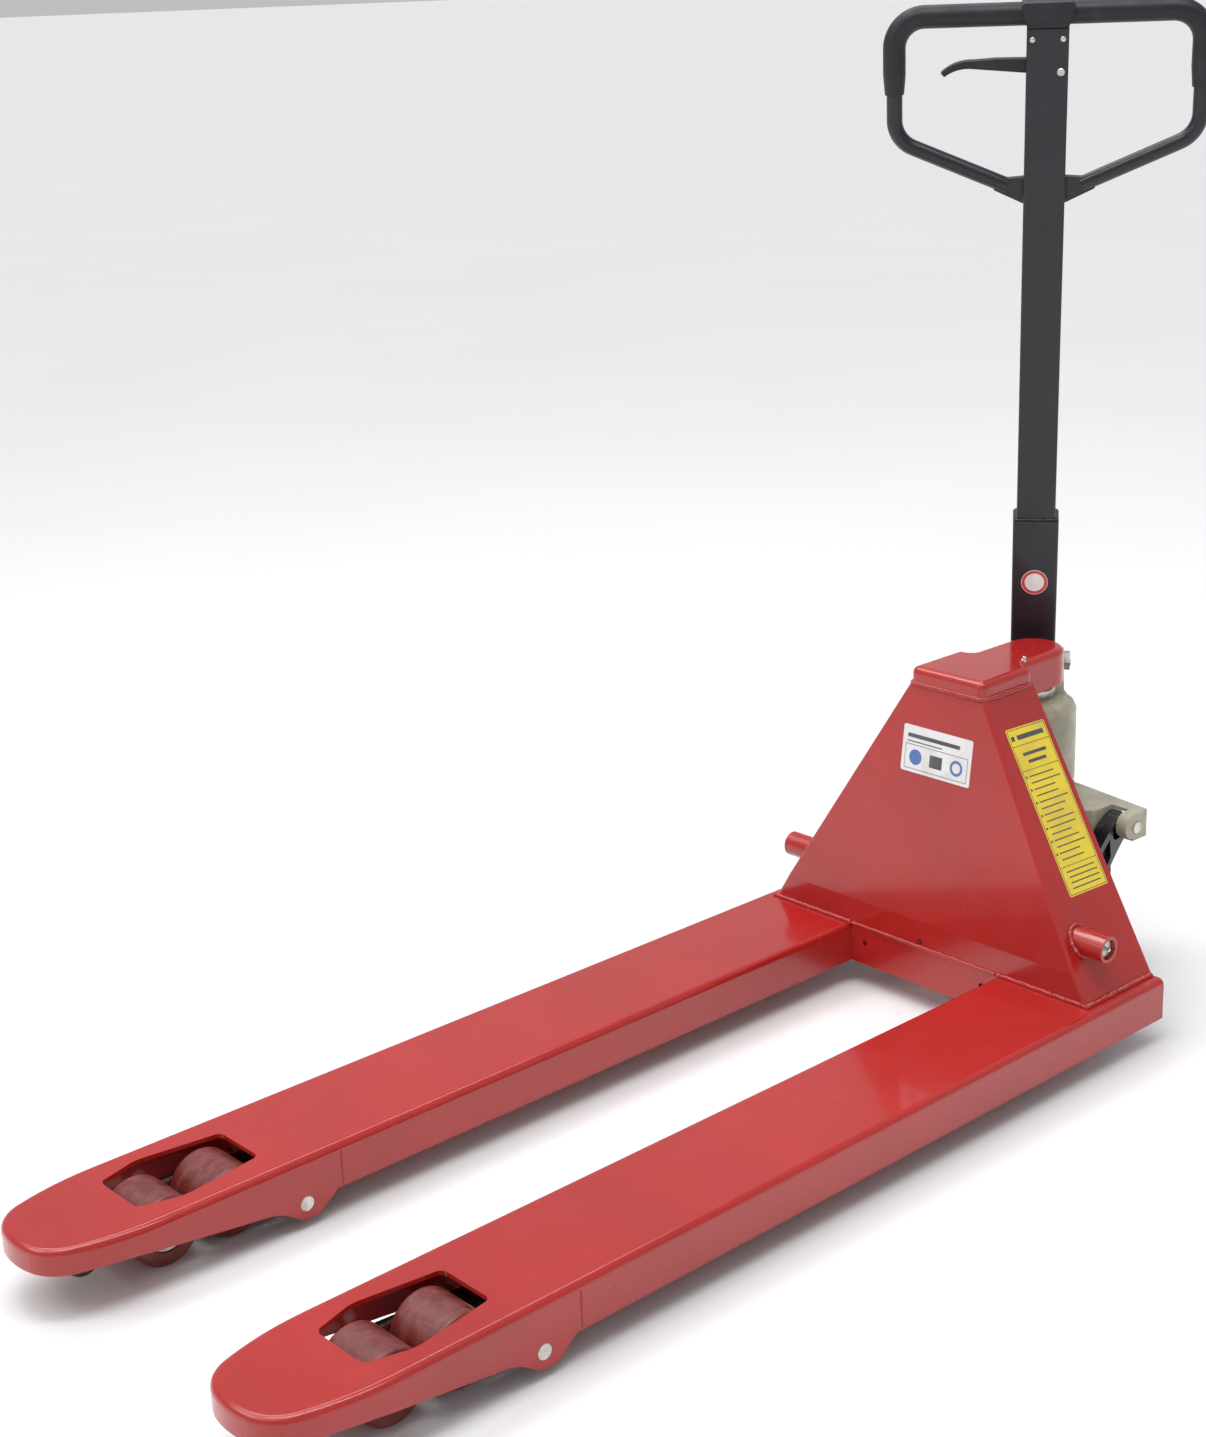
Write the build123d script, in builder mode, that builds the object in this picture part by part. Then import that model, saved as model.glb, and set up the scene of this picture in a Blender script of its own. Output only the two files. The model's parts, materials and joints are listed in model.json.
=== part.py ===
"""Hand pallet truck for 2.5 t loads: 550 mm over the forks, forks 1150 mm long and 85 mm high when lowered.

Row frame, in mm: +X towards the fork tips, +Y to the operator's left, +Z up. The origin is on the floor
under the middle of the truck's box. The truck is drawn lowered, with its steering turned to the left and
its drawbar leaning a little forwards over the head of the frame.
"""
import os
from math import atan2, cos, degrees, radians, sin

from build123d import *

os.makedirs("parts", exist_ok=True)

SIDES = (("left", 1), ("right", -1))

# ---- stance of the drawing -------------------------------------------------------------------------
PUMP_X = -626.72           # steering axis, placed so that the origin is under the middle of the box
STEER_ANGLE = 38           # steering turned to the left, degrees
LEAN = 9                   # drawbar leaning forwards, degrees

# ---- forks ------------------------------------------------------------------------------------------
OVERALL_WIDTH = 550
FORK_WIDTH = 155
FORK_TOP = 85
FORK_DEPTH = 52.5
FORK_SHEET = 5
FORK_EDGE_R = 8
FORK_Y = (OVERALL_WIDTH - FORK_WIDTH) / 2
FORK_BOTTOM = FORK_TOP - FORK_DEPTH
FORK_INNER_Y = FORK_Y - FORK_WIDTH / 2
CHANNEL_HALF = FORK_WIDTH / 2 - FORK_SHEET
CHANNEL_TOP = FORK_TOP - FORK_SHEET
NOSE_X = PUMP_X + 1041     # where the nose casting is welded to the fork channel
TAPER_X = PUMP_X + 1262    # where the nose starts to narrow
TIP_X = PUMP_X + 1396
TIP_BOTTOM = 56

# ---- frame ------------------------------------------------------------------------------------------
FRAME_SHEET = 6
FRAME_REAR_X = PUMP_X + 84
FRAME_FRONT_X = PUMP_X + 216
CREASE_Z = 120
CREASE_X = FRAME_FRONT_X - 1.5
HEAD_Z = 419
HEAD_REAR_X = PUMP_X + 76
HEAD_FRONT_X = PUMP_X + 173
FOOT_Y = 257
HEAD_Y = 59
CAP_TOP = 441
ARM_BOTTOM = 391
ARM_TIP_R = 39
BEAM_TOP = FORK_TOP - FORK_SHEET

# ---- lifting gear -----------------------------------------------------------------------------------
SHAFT_X = PUMP_X + 179     # rocker shaft
SHAFT_Z = 150
SHAFT_R = 12.5
YOKE_PIN_X = PUMP_X - 4
YOKE_PIN_Z = 231
YOKE_PIN_R = 6
ROCKER_Y = 137
PIN_SLOT_AT = 191.6        # middle of the slot round the yoke pin, from the rocker shaft
LEVER_LENGTH = 80          # rocker shaft to push rod pin
LEVER_ANGLE = 22.4         # lever leaning back from straight down, lowered
ROD_Y = FORK_Y - 10        # push rods run inside the middle of the forks
ROD_PIN_R = 6
RUNNING = 0.05             # radial clearance of every running fit

# ---- load rollers -----------------------------------------------------------------------------------
PIVOT_X = PUMP_X + 1089.7  # pivot of the roller frame in the fork
PIVOT_Z = 30
PIVOT_R = 9
ROLLER_R = 40
ROLLER_HALF = 35
ROLLER_SPACING = 84
ROLLER_AXLE_R = 10
BOGIE_X = PIVOT_X + 106.3
LUG_RADIUS = 37.2          # frame pivot to push rod pin
LUG_ANGLE = 37.3           # lug leaning back from straight up, lowered
ENTRY_X = PUMP_X + 1328
ENTRY_Z = 40
ENTRY_R = 20

# ---- pump and steering ------------------------------------------------------------------------------
WHEEL_R = 90
WHEEL_WIDTH = 50
WHEEL_Y = 80
WHEEL_AXLE_R = 10
NECK_R = 34
YOKE_BOTTOM = 214
YOKE_TOP = 253
RESERVOIR_R = 57
RESERVOIR_BOTTOM = 259
RESERVOIR_TOP = 358
PUMP_TOP = 376
RAM_R = 18
RAM_BOTTOM = 232
RAM_SEAT = 14              # ram end let into the underside of the head arm
PLUNGER_BACK = -116
PLUNGER_R = 9
PLUNGER_TOP = 379.9
PLUNGER_DEPTH = 20         # plunger inside its boss with the drawbar up
BOSS_TOP = 321
EAR_INNER = 30.5
EAR_OUTER = 41
FILLER_Z = 325
RELEASE_Z = 295            # shaft of the release lever on the plunger boss

# ---- drawbar ----------------------------------------------------------------------------------------
HINGE_BACK = -94.3         # drawbar hinge, behind the steering axis
HINGE_Z = 393
HINGE_R = 8
BASE_WIDTH = 58
BASE_DEPTH = 44
BASE_SHEET = 4
BASE_LENGTH = 207
POLE_WIDTH = 49
POLE_DEPTH = 35
POLE_SHEET = 2.5
BAR_HEIGHT = 838.3         # drawbar hinge to the middle of the top bar
LOOP_HALF = 179
LOOP_TUBE_R = 9.5
GRIP_R = 13.5
GRIP_END = 749             # lower ends of the grip's sleeves
GRIP_TAPER = 772           # above this height the grip keeps its full thickness
LOOP_CORNER = 694.3
TAB_HEIGHT = 636.3
LEVER_PIVOT = (16, 773.3)  # finger lever pivot: sideways, along the drawbar
CAM_BACK = 23.2            # cam roller, behind and below the hinge
CAM_DROP = 6.2

# ---- labels -----------------------------------------------------------------------------------------
LABEL_FILM = 0.4
CAPACITY_LABEL = (-5, 337, 111, 60)            # sideways, height, width, depth
SIDE_LABEL = (PUMP_X + 125.5, 287, 74, 218, -2) # along, height, width, length, turn
ROUND_LABEL_R = 17
ROUND_LABEL_HEIGHT = 122.3

# ---- places of the turned pieces --------------------------------------------------------------------
STEER = Pos(PUMP_X, 0, 0) * Rot(0, 0, STEER_ANGLE)
STEER_AXIS = Axis((PUMP_X, 0, 0), (0, 0, 1))
DRAWBAR = STEER * Pos(HINGE_BACK, 0, HINGE_Z) * Rot(0, LEAN, 0)

LEVER_PIN_X = SHAFT_X - LEVER_LENGTH * sin(radians(LEVER_ANGLE))
LEVER_PIN_Z = SHAFT_Z - LEVER_LENGTH * cos(radians(LEVER_ANGLE))
LUG_X = PIVOT_X - LUG_RADIUS * sin(radians(LUG_ANGLE))
LUG_Z = PIVOT_Z + LUG_RADIUS * cos(radians(LUG_ANGLE))


def placed(place, plane):
    """A plane of the straight-ahead truck carried to its real place."""
    return Plane(place * plane.location)


def across(y, place=Location()):
    """Upright plane at a sideways distance y, whose sketch x is forwards and y is up. Its normal is -Y."""
    return placed(place, Plane.XZ.offset(-y))


def side_y_at(z):
    """Outer face of the leaning side plates at a height."""
    return FOOT_Y - (z - FORK_TOP) * (FOOT_Y - HEAD_Y) / (HEAD_Z - FORK_TOP)


def front_x_at(z):
    """Outer face of the front plate at a height above its crease or below it."""
    if z < CREASE_Z:
        return FRAME_FRONT_X + (CREASE_X - FRAME_FRONT_X) * (z - FORK_TOP) / (CREASE_Z - FORK_TOP)
    return CREASE_X + (HEAD_FRONT_X - CREASE_X) * (z - CREASE_Z) / (HEAD_Z - CREASE_Z)


def nose_outline(inset):
    """Fork nose seen from above, smaller by an inset all round."""
    half = FORK_WIDTH / 2 - inset
    corner = (TIP_X - 38 - 0.29 * inset, 0.957 * inset - 63.2)
    blunt = (TIP_X - 3.5 - 0.968 * inset, 0.249 * inset - 27.5)
    with BuildSketch() as plan:
        with BuildLine():
            flank = TangentArc((TAPER_X, -half), corner, tangent=(1, 0))
            shoulder = TangentArc(corner, blunt, tangent=flank % 1)
            ThreePointArc(blunt, (TIP_X - inset, 0), (blunt[0], -blunt[1]))
            mirror((flank, shoulder), about=Plane.XZ)
            Polyline((TAPER_X, half), (NOSE_X, half), (NOSE_X, -half), (TAPER_X, -half))
        make_face()
    return plan.sketch


# ==== chassis ========================================================================================
for name, side in SIDES:
    centre = side * FORK_Y
    with BuildPart() as fork:
        with BuildSketch(Plane.YZ.offset(FRAME_REAR_X)) as section:
            with Locations((centre, FORK_TOP - FORK_DEPTH / 2)):
                Rectangle(FORK_WIDTH, FORK_DEPTH)
            fillet(section.vertices().group_by(Axis.Y)[-1], FORK_EDGE_R)
            with Locations((centre, CHANNEL_TOP - (FORK_DEPTH - FORK_SHEET) / 2)):
                Rectangle(2 * CHANNEL_HALF, FORK_DEPTH - FORK_SHEET, mode=Mode.SUBTRACT)
        extrude(amount=NOSE_X - FRAME_REAR_X)
        # behind the front plate the channel is open at the top, for the push rod's lever
        with BuildSketch(Plane.XY.offset(CHANNEL_TOP - 1)):
            with Locations((FRAME_REAR_X - 1, side * ROD_Y)):
                Rectangle(FRAME_FRONT_X - FRAME_SHEET - FRAME_REAR_X, 2 * CHANNEL_HALF - 20,
                          align=(Align.MIN, Align.CENTER))
        extrude(amount=FORK_SHEET + 2, mode=Mode.SUBTRACT)
    fork.part.label = f"fork_{name}"
    export_step(fork.part, f"parts/fork_{name}.step")

for name, side in SIDES:
    centre = side * FORK_Y
    with BuildPart() as nose:
        with BuildSketch(Plane((0, centre, 0))):
            add(nose_outline(0))
        extrude(amount=FORK_TOP)
        # side view: level, the pivot boss, then rising to the shallow tip
        with BuildSketch(across(centre)):
            with BuildLine():
                Polyline((NOSE_X, FORK_TOP), (NOSE_X, FORK_BOTTOM), (PIVOT_X - 41, FORK_BOTTOM),
                         (PIVOT_X - 15, PIVOT_Z - 18), (PIVOT_X + 5, PIVOT_Z - 18),
                         (PIVOT_X + 31, FORK_BOTTOM - 4), (PIVOT_X + 44, FORK_BOTTOM + 0.5),
                         (PUMP_X + 1290, 54), (PUMP_X + 1320, TIP_BOTTOM), (TIP_X + 1, TIP_BOTTOM),
                         (TIP_X + 1, FORK_TOP), (NOSE_X, FORK_TOP))
            make_face()
        extrude(amount=FORK_WIDTH, both=True, mode=Mode.INTERSECT)
        rim = nose.edges().group_by(Axis.Z)[-1].sort_by(Axis.X)[1:]
        fillet(rim, FORK_EDGE_R)
        with BuildSketch(Plane((0, centre, 0))):
            add(nose_outline(FORK_SHEET))
            with Locations((NOSE_X - 1, 0)):
                Rectangle(FORK_SHEET * 3, 2 * CHANNEL_HALF, align=(Align.MIN, Align.CENTER))
        extrude(amount=CHANNEL_TOP, mode=Mode.SUBTRACT)
        with BuildSketch(Plane.XY.offset(CHANNEL_TOP - 1)) as window:
            with Locations((0, centre)):
                Polygon((PUMP_X + 1121, -37), (PUMP_X + 1221, -51.5), (PUMP_X + 1272, -37),
                        (PUMP_X + 1272, 37), (PUMP_X + 1221, 51.5), (PUMP_X + 1121, 37), align=None)
            fillet(window.vertices().group_by(Axis.X)[0], 9)
            fillet(window.vertices().group_by(Axis.X)[-1], 9)
            fillet(window.vertices().filter_by(lambda v: abs(v.X - PUMP_X - 1221) < 1), 40)
        extrude(amount=FORK_SHEET + 2, mode=Mode.SUBTRACT)
        with BuildSketch(across(centre)):
            with Locations((PIVOT_X, PIVOT_Z)):
                Circle(PIVOT_R)
        extrude(amount=FORK_WIDTH, both=True, mode=Mode.SUBTRACT)
    nose.part.label = f"fork_nose_{name}"
    export_step(nose.part, f"parts/fork_nose_{name}.step")

with BuildPart() as cross_beam:
    with BuildSketch(across(0)):
        with BuildLine():
            Polyline((FRAME_FRONT_X - 50, BEAM_TOP), (FRAME_FRONT_X, BEAM_TOP), (FRAME_FRONT_X, FORK_BOTTOM),
                     (FRAME_FRONT_X - 50, FORK_BOTTOM), (FRAME_FRONT_X - 50, FORK_BOTTOM + FORK_SHEET),
                     (FRAME_FRONT_X - FORK_SHEET, FORK_BOTTOM + FORK_SHEET),
                     (FRAME_FRONT_X - FORK_SHEET, BEAM_TOP - FORK_SHEET),
                     (FRAME_FRONT_X - 50, BEAM_TOP - FORK_SHEET), close=True)
        make_face()
    extrude(amount=FORK_INNER_Y, both=True)
    with BuildSketch(Plane.YZ.offset(FRAME_FRONT_X - FORK_SHEET - 1)):
        with Locations((-97, FORK_TOP - 22), (97, FORK_TOP - 22)):
            Circle(4)
    extrude(amount=FORK_SHEET + 2, mode=Mode.SUBTRACT)
cross_beam.part.label = "cross_beam"
export_step(cross_beam.part, "parts/cross_beam.step")

with BuildPart() as front_plate:
    with BuildSketch(across(0)):
        with BuildLine():
            Polyline((FRAME_FRONT_X, FORK_TOP), (CREASE_X, CREASE_Z), (HEAD_FRONT_X, HEAD_Z),
                     (HEAD_FRONT_X - FRAME_SHEET, HEAD_Z), (CREASE_X - FRAME_SHEET, CREASE_Z),
                     (FRAME_FRONT_X - FRAME_SHEET, FORK_TOP), close=True)
        make_face()
    extrude(amount=OVERALL_WIDTH / 2, both=True)
    with BuildSketch(Plane.YZ.offset(HEAD_FRONT_X - 50)):
        Polygon((-FOOT_Y, FORK_TOP), (FOOT_Y, FORK_TOP), (HEAD_Y, HEAD_Z), (-HEAD_Y, HEAD_Z), align=None)
    extrude(amount=200, mode=Mode.INTERSECT)
    corners = front_plate.edges().filter_by(lambda e: abs(e.tangent_at(0.5).Y) > 0.3)
    corners = corners.filter_by(lambda e: abs(e.center().X - front_x_at(e.center().Z)) < 1)
    fillet(corners, 4)
    with BuildSketch(Plane.XY.offset(BEAM_TOP)):
        with Locations((FRAME_FRONT_X - FRAME_SHEET / 2, 0)):
            Rectangle(FRAME_SHEET, 2 * FORK_INNER_Y)
    extrude(amount=FORK_TOP - BEAM_TOP)
    with BuildSketch(Plane.YZ.offset(FRAME_FRONT_X - 20)):
        with Locations((-3.5, FORK_TOP + 7)):
            Circle(4)
    extrude(amount=40, mode=Mode.SUBTRACT)
front_plate.part.label = "front_plate"
export_step(front_plate.part, "parts/front_plate.step")

for name, side in SIDES:
    lean_in = (FOOT_Y - HEAD_Y) / (HEAD_Z - FORK_TOP)
    inward = FRAME_SHEET * (1 + lean_in ** 2) ** 0.5
    with BuildPart() as side_plate:
        with BuildSketch(Plane.YZ.offset(HEAD_REAR_X - 1)):
            Polygon((side * FOOT_Y, FORK_TOP), (side * HEAD_Y, HEAD_Z), (side * (HEAD_Y - inward), HEAD_Z),
                    (side * (FOOT_Y - inward), FORK_TOP), align=None)
        extrude(amount=200)
        with BuildSketch(across(0)):
            Polygon((FRAME_REAR_X, FORK_TOP), (FRAME_FRONT_X - FRAME_SHEET, FORK_TOP),
                    (CREASE_X - FRAME_SHEET, CREASE_Z), (HEAD_FRONT_X - FRAME_SHEET, HEAD_Z),
                    (HEAD_REAR_X, HEAD_Z), align=None)
        extrude(amount=OVERALL_WIDTH / 2, both=True, mode=Mode.INTERSECT)
        with BuildSketch(across(0)):
            with Locations((SHAFT_X, SHAFT_Z)):
                Circle(16.5)
        extrude(amount=OVERALL_WIDTH / 2, both=True, mode=Mode.SUBTRACT)
    side_plate.part.label = f"side_plate_{name}"
    export_step(side_plate.part, f"parts/side_plate_{name}.step")

with BuildPart() as head_cap:
    with BuildSketch(Plane.XY.offset(HEAD_Z)) as cap_plan:
        with Locations(((HEAD_REAR_X + HEAD_FRONT_X) / 2, 0)):
            Rectangle(HEAD_FRONT_X - HEAD_REAR_X + 1, 2 * HEAD_Y - 1)
        with Locations((PUMP_X, 0)):
            Rectangle(HEAD_REAR_X - PUMP_X, 2 * ARM_TIP_R, align=(Align.MIN, Align.CENTER))
            Circle(ARM_TIP_R)
        fillet(cap_plan.vertices().filter_by(lambda v: abs(v.Y) < ARM_TIP_R + 1 and v.X > PUMP_X + 20), 9.5)
        fillet(cap_plan.vertices().filter_by(lambda v: abs(v.Y) > HEAD_Y - 1), 9.5)
    extrude(amount=CAP_TOP - HEAD_Z)
    fillet(head_cap.edges().group_by(Axis.Z)[-1], 9)
    # the arm is deeper than the cap, and its underside rises a little towards its tip
    with BuildSketch(Plane.XY.offset(ARM_BOTTOM)):
        add(cap_plan.sketch.faces())
        with Locations((HEAD_REAR_X, 0)):
            Rectangle(200, 4 * HEAD_Y, align=(Align.MIN, Align.CENTER), mode=Mode.SUBTRACT)
    extrude(amount=HEAD_Z - ARM_BOTTOM)
    with BuildSketch(across(0)):
        Polygon((PUMP_X + 50, ARM_BOTTOM), (PUMP_X - 50, ARM_BOTTOM + 8), (PUMP_X - 50, ARM_BOTTOM - 1),
                (PUMP_X + 50, ARM_BOTTOM - 1), align=None)
    extrude(amount=HEAD_Y, both=True, mode=Mode.SUBTRACT)
    with BuildSketch(Plane((PUMP_X, 0, ARM_BOTTOM))):
        Circle(RAM_R)
    extrude(amount=RAM_SEAT, mode=Mode.SUBTRACT)
head_cap.part.label = "head_cap"
export_step(head_cap.part, "parts/head_cap.step")

with BuildPart() as lift_ram:
    with BuildSketch(Plane((PUMP_X, 0, RAM_BOTTOM))):
        Circle(RAM_R)
    extrude(amount=ARM_BOTTOM + RAM_SEAT - RAM_BOTTOM)
    chamfer(lift_ram.edges().group_by(Axis.Z)[0], 2)
lift_ram.part.label = "lift_ram"
export_step(lift_ram.part, "parts/lift_ram.step")

with BuildPart() as shaft_tubes:
    for _, side in SIDES:
        with BuildSketch(across(side * 206)):
            with Locations((SHAFT_X, SHAFT_Z)):
                Circle(16.5)
                Circle(SHAFT_R + RUNNING, mode=Mode.SUBTRACT)
        extrude(amount=-side * 54)
shaft_tubes.part.label = "shaft_tubes"
export_step(shaft_tubes.part, "parts/shaft_tubes.step")

with BuildPart() as roller_frame_pins:
    for _, side in SIDES:
        with BuildSketch(across(side * FORK_Y)):
            with Locations((PIVOT_X, PIVOT_Z)):
                Circle(PIVOT_R)
        extrude(amount=FORK_WIDTH / 2, both=True)
    chamfer(roller_frame_pins.edges().filter_by(GeomType.CIRCLE), 0.6)
roller_frame_pins.part.label = "roller_frame_pins"
export_step(roller_frame_pins.part, "parts/roller_frame_pins.step")

with BuildPart() as entry_roller_brackets:
    for _, side in SIDES:
        for edge in (-1, 1):
            with BuildSketch(across(side * FORK_Y + edge * 24)):
                with BuildLine():
                    Polyline((ENTRY_X - 16, CHANNEL_TOP), (ENTRY_X - 9, ENTRY_Z))
                    ThreePointArc((ENTRY_X - 9, ENTRY_Z), (ENTRY_X, ENTRY_Z - 9), (ENTRY_X + 9, ENTRY_Z))
                    Polyline((ENTRY_X + 9, ENTRY_Z), (ENTRY_X + 16, CHANNEL_TOP), (ENTRY_X - 16, CHANNEL_TOP))
                make_face()
            extrude(amount=2, both=True)
        with BuildSketch(across(side * FORK_Y)):
            with Locations((ENTRY_X, ENTRY_Z)):
                Circle(5)
        extrude(amount=27, both=True)
entry_roller_brackets.part.label = "entry_roller_brackets"
export_step(entry_roller_brackets.part, "parts/entry_roller_brackets.step")

for name, side in SIDES:
    with BuildPart() as entry_roller:
        with BuildSketch(across(side * FORK_Y)):
            with Locations((ENTRY_X, ENTRY_Z)):
                Circle(ENTRY_R)
        extrude(amount=20, both=True)
        fillet(entry_roller.edges().filter_by(GeomType.CIRCLE), 4)
        with BuildSketch(across(side * FORK_Y)):
            with Locations((ENTRY_X, ENTRY_Z)):
                Circle(5 + RUNNING)
        extrude(amount=30, both=True, mode=Mode.SUBTRACT)
    entry_roller.part.label = f"entry_roller_{name}"
    export_step(entry_roller.part, f"parts/entry_roller_{name}.step")

# thin labels lie on the plates they are stuck to
slope = degrees(atan2(CREASE_X - HEAD_FRONT_X, HEAD_Z - CREASE_Z))
with BuildPart() as capacity_label:
    label_z = CAPACITY_LABEL[1]
    with BuildSketch(Pos(front_x_at(label_z), CAPACITY_LABEL[0], label_z) * Rot(0, 90 - slope, 0)
                     * Rot(0, 0, 90) * Plane.XY) as outline:
        Rectangle(*CAPACITY_LABEL[2:])
        fillet(outline.vertices(), 3)
    extrude(amount=LABEL_FILM)
capacity_label.part.label = "capacity_label"
export_step(capacity_label.part, "parts/capacity_label.step")

lean_angle = degrees(atan2(FOOT_Y - HEAD_Y, HEAD_Z - FORK_TOP))
with BuildPart() as side_label:
    label_z = SIDE_LABEL[1]
    with BuildSketch(Pos(SIDE_LABEL[0], side_y_at(label_z), label_z) * Rot(-(90 - lean_angle), 0, 0)
                     * Rot(0, 0, SIDE_LABEL[4]) * Plane.XY) as outline:
        Rectangle(*SIDE_LABEL[2:4])
        fillet(outline.vertices(), 3)
    extrude(amount=LABEL_FILM)
side_label.part.label = "side_label"
export_step(side_label.part, "parts/side_label.step")

# ==== rocker =========================================================================================
with BuildPart() as rocker_shaft:
    with BuildSketch(across(0)):
        with Locations((SHAFT_X, SHAFT_Z)):
            Circle(SHAFT_R)
    extrude(amount=255, both=True)
    chamfer(rocker_shaft.edges().filter_by(GeomType.CIRCLE), 1.5)
rocker_shaft.part.label = "rocker_shaft"
export_step(rocker_shaft.part, "parts/rocker_shaft.step")

# each arm drops steeply from its yoke pin and then runs forward to the shaft
arm_angle = degrees(atan2(YOKE_PIN_Z - SHAFT_Z, YOKE_PIN_X - SHAFT_X))
pin_slot = (SHAFT_X + PIN_SLOT_AT * cos(radians(arm_angle)), SHAFT_Z + PIN_SLOT_AT * sin(radians(arm_angle)))
for name, side in SIDES:
    with BuildPart() as rocker_arm:
        with BuildSketch(across(side * ROCKER_Y)) as blank:
            with BuildLine():
                Spline((YOKE_PIN_X + 6, YOKE_PIN_Z + 13), (PUMP_X + 26, 231), (PUMP_X + 52, 207),
                       (PUMP_X + 86, 184), (PUMP_X + 124, 176), (SHAFT_X + 2, SHAFT_Z + 22.9))
                Line((SHAFT_X + 2, SHAFT_Z + 22.9), (SHAFT_X + 2, SHAFT_Z - 22.9))
                Spline((SHAFT_X + 2, SHAFT_Z - 22.9), (PUMP_X + 130, 131), (PUMP_X + 84, 141),
                       (PUMP_X + 46, 159), (PUMP_X + 20, 187), (YOKE_PIN_X - 8, YOKE_PIN_Z - 12))
                Line((YOKE_PIN_X - 8, YOKE_PIN_Z - 12), (YOKE_PIN_X + 6, YOKE_PIN_Z + 13))
            make_face()
            with Locations((YOKE_PIN_X, YOKE_PIN_Z)):
                Circle(14.5)
            with Locations((SHAFT_X, SHAFT_Z)):
                Circle(23)
        extrude(amount=11, both=True)
        # both faces are recessed between a rim of constant width
        for face in (-1, 1):
            with BuildSketch(across(side * ROCKER_Y + face * 11)):
                with BuildLine():
                    Spline((PUMP_X + 27, 219), (PUMP_X + 48, 199), (PUMP_X + 84, 176.5), (PUMP_X + 120, 168),
                           (PUMP_X + 147, 165))
                    Line((PUMP_X + 147, 165), (PUMP_X + 143, 138))
                    Spline((PUMP_X + 143, 138), (PUMP_X + 116, 141.5), (PUMP_X + 86, 149),
                           (PUMP_X + 50, 166), (PUMP_X + 24, 195))
                    Line((PUMP_X + 24, 195), (PUMP_X + 27, 219))
                make_face()
            extrude(amount=face * 6, mode=Mode.SUBTRACT)
        with BuildSketch(across(side * ROCKER_Y)):
            with Locations((SHAFT_X, SHAFT_Z)):
                Circle(SHAFT_R)
            with Locations(pin_slot):
                SlotCenterToCenter(19, 17.6, rotation=arm_angle)
        extrude(amount=20, both=True, mode=Mode.SUBTRACT)
    rocker_arm.part.label = f"rocker_arm_{name}"
    export_step(rocker_arm.part, f"parts/rocker_arm_{name}.step")

with BuildPart() as rod_levers:
    for _, side in SIDES:
        with BuildSketch(across(side * ROD_Y)) as blank:
            with Locations((SHAFT_X, SHAFT_Z)):
                Circle(23)
            with Locations((LEVER_PIN_X, LEVER_PIN_Z)):
                Circle(12)
            make_hull()
            with Locations((SHAFT_X, SHAFT_Z)):
                Circle(SHAFT_R, mode=Mode.SUBTRACT)
            with Locations((LEVER_PIN_X, LEVER_PIN_Z)):
                Circle(ROD_PIN_R, mode=Mode.SUBTRACT)
        extrude(amount=7, both=True)
rod_levers.part.label = "rod_levers"
export_step(rod_levers.part, "parts/rod_levers.step")

with BuildPart() as rod_lever_pins:
    for _, side in SIDES:
        with BuildSketch(across(side * ROD_Y)):
            with Locations((LEVER_PIN_X, LEVER_PIN_Z)):
                Circle(ROD_PIN_R)
        extrude(amount=16, both=True)
    chamfer(rod_lever_pins.edges().filter_by(GeomType.CIRCLE), 0.8)
rod_lever_pins.part.label = "rod_lever_pins"
export_step(rod_lever_pins.part, "parts/rod_lever_pins.step")

# ==== push rods ======================================================================================
ROD_Z = LUG_Z
for name, side in SIDES:
    centre = side * ROD_Y
    with BuildPart() as push_rod:
        with BuildSketch(Plane((LEVER_PIN_X + 38, centre, ROD_Z), x_dir=(0, 1, 0), z_dir=(1, 0, 0))):
            Circle(9)
        extrude(amount=LUG_X - 32 - LEVER_PIN_X - 38)
        for cheek in (-1, 1):
            # rear cheek: a tall slot round the lever's pin
            with BuildSketch(across(centre + cheek * 10.75)):
                with BuildLine():
                    Polyline((LEVER_PIN_X - 12, LEVER_PIN_Z + 10), (LEVER_PIN_X + 12, LEVER_PIN_Z + 10),
                             (LEVER_PIN_X + 12, ROD_Z + 9), (LEVER_PIN_X + 46, ROD_Z + 9),
                             (LEVER_PIN_X + 46, ROD_Z - 9), (LEVER_PIN_X - 12, LEVER_PIN_Z - 26), close=True)
                make_face()
                with Locations((LEVER_PIN_X, LEVER_PIN_Z - 6.8)):
                    SlotOverall(28, 15, rotation=90, mode=Mode.SUBTRACT)
            extrude(amount=2.75, both=True)
            # front cheek: a round eye on the lug's pin
            with BuildSketch(across(centre + cheek * 10.75)):
                with Locations((LUG_X, LUG_Z)):
                    Circle(11.5)
                with Locations((LUG_X - 22, LUG_Z)):
                    Rectangle(44, 18)
                with Locations((LUG_X, LUG_Z)):
                    Circle(ROD_PIN_R + RUNNING, mode=Mode.SUBTRACT)
            extrude(amount=2.75, both=True)
        for x in (LEVER_PIN_X + 41, LUG_X - 36):
            with Locations((x, centre, ROD_Z)):
                Box(12, 22, 16)
    push_rod.part.label = f"push_rod_{name}"
    export_step(push_rod.part, f"parts/push_rod_{name}.step")

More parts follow.
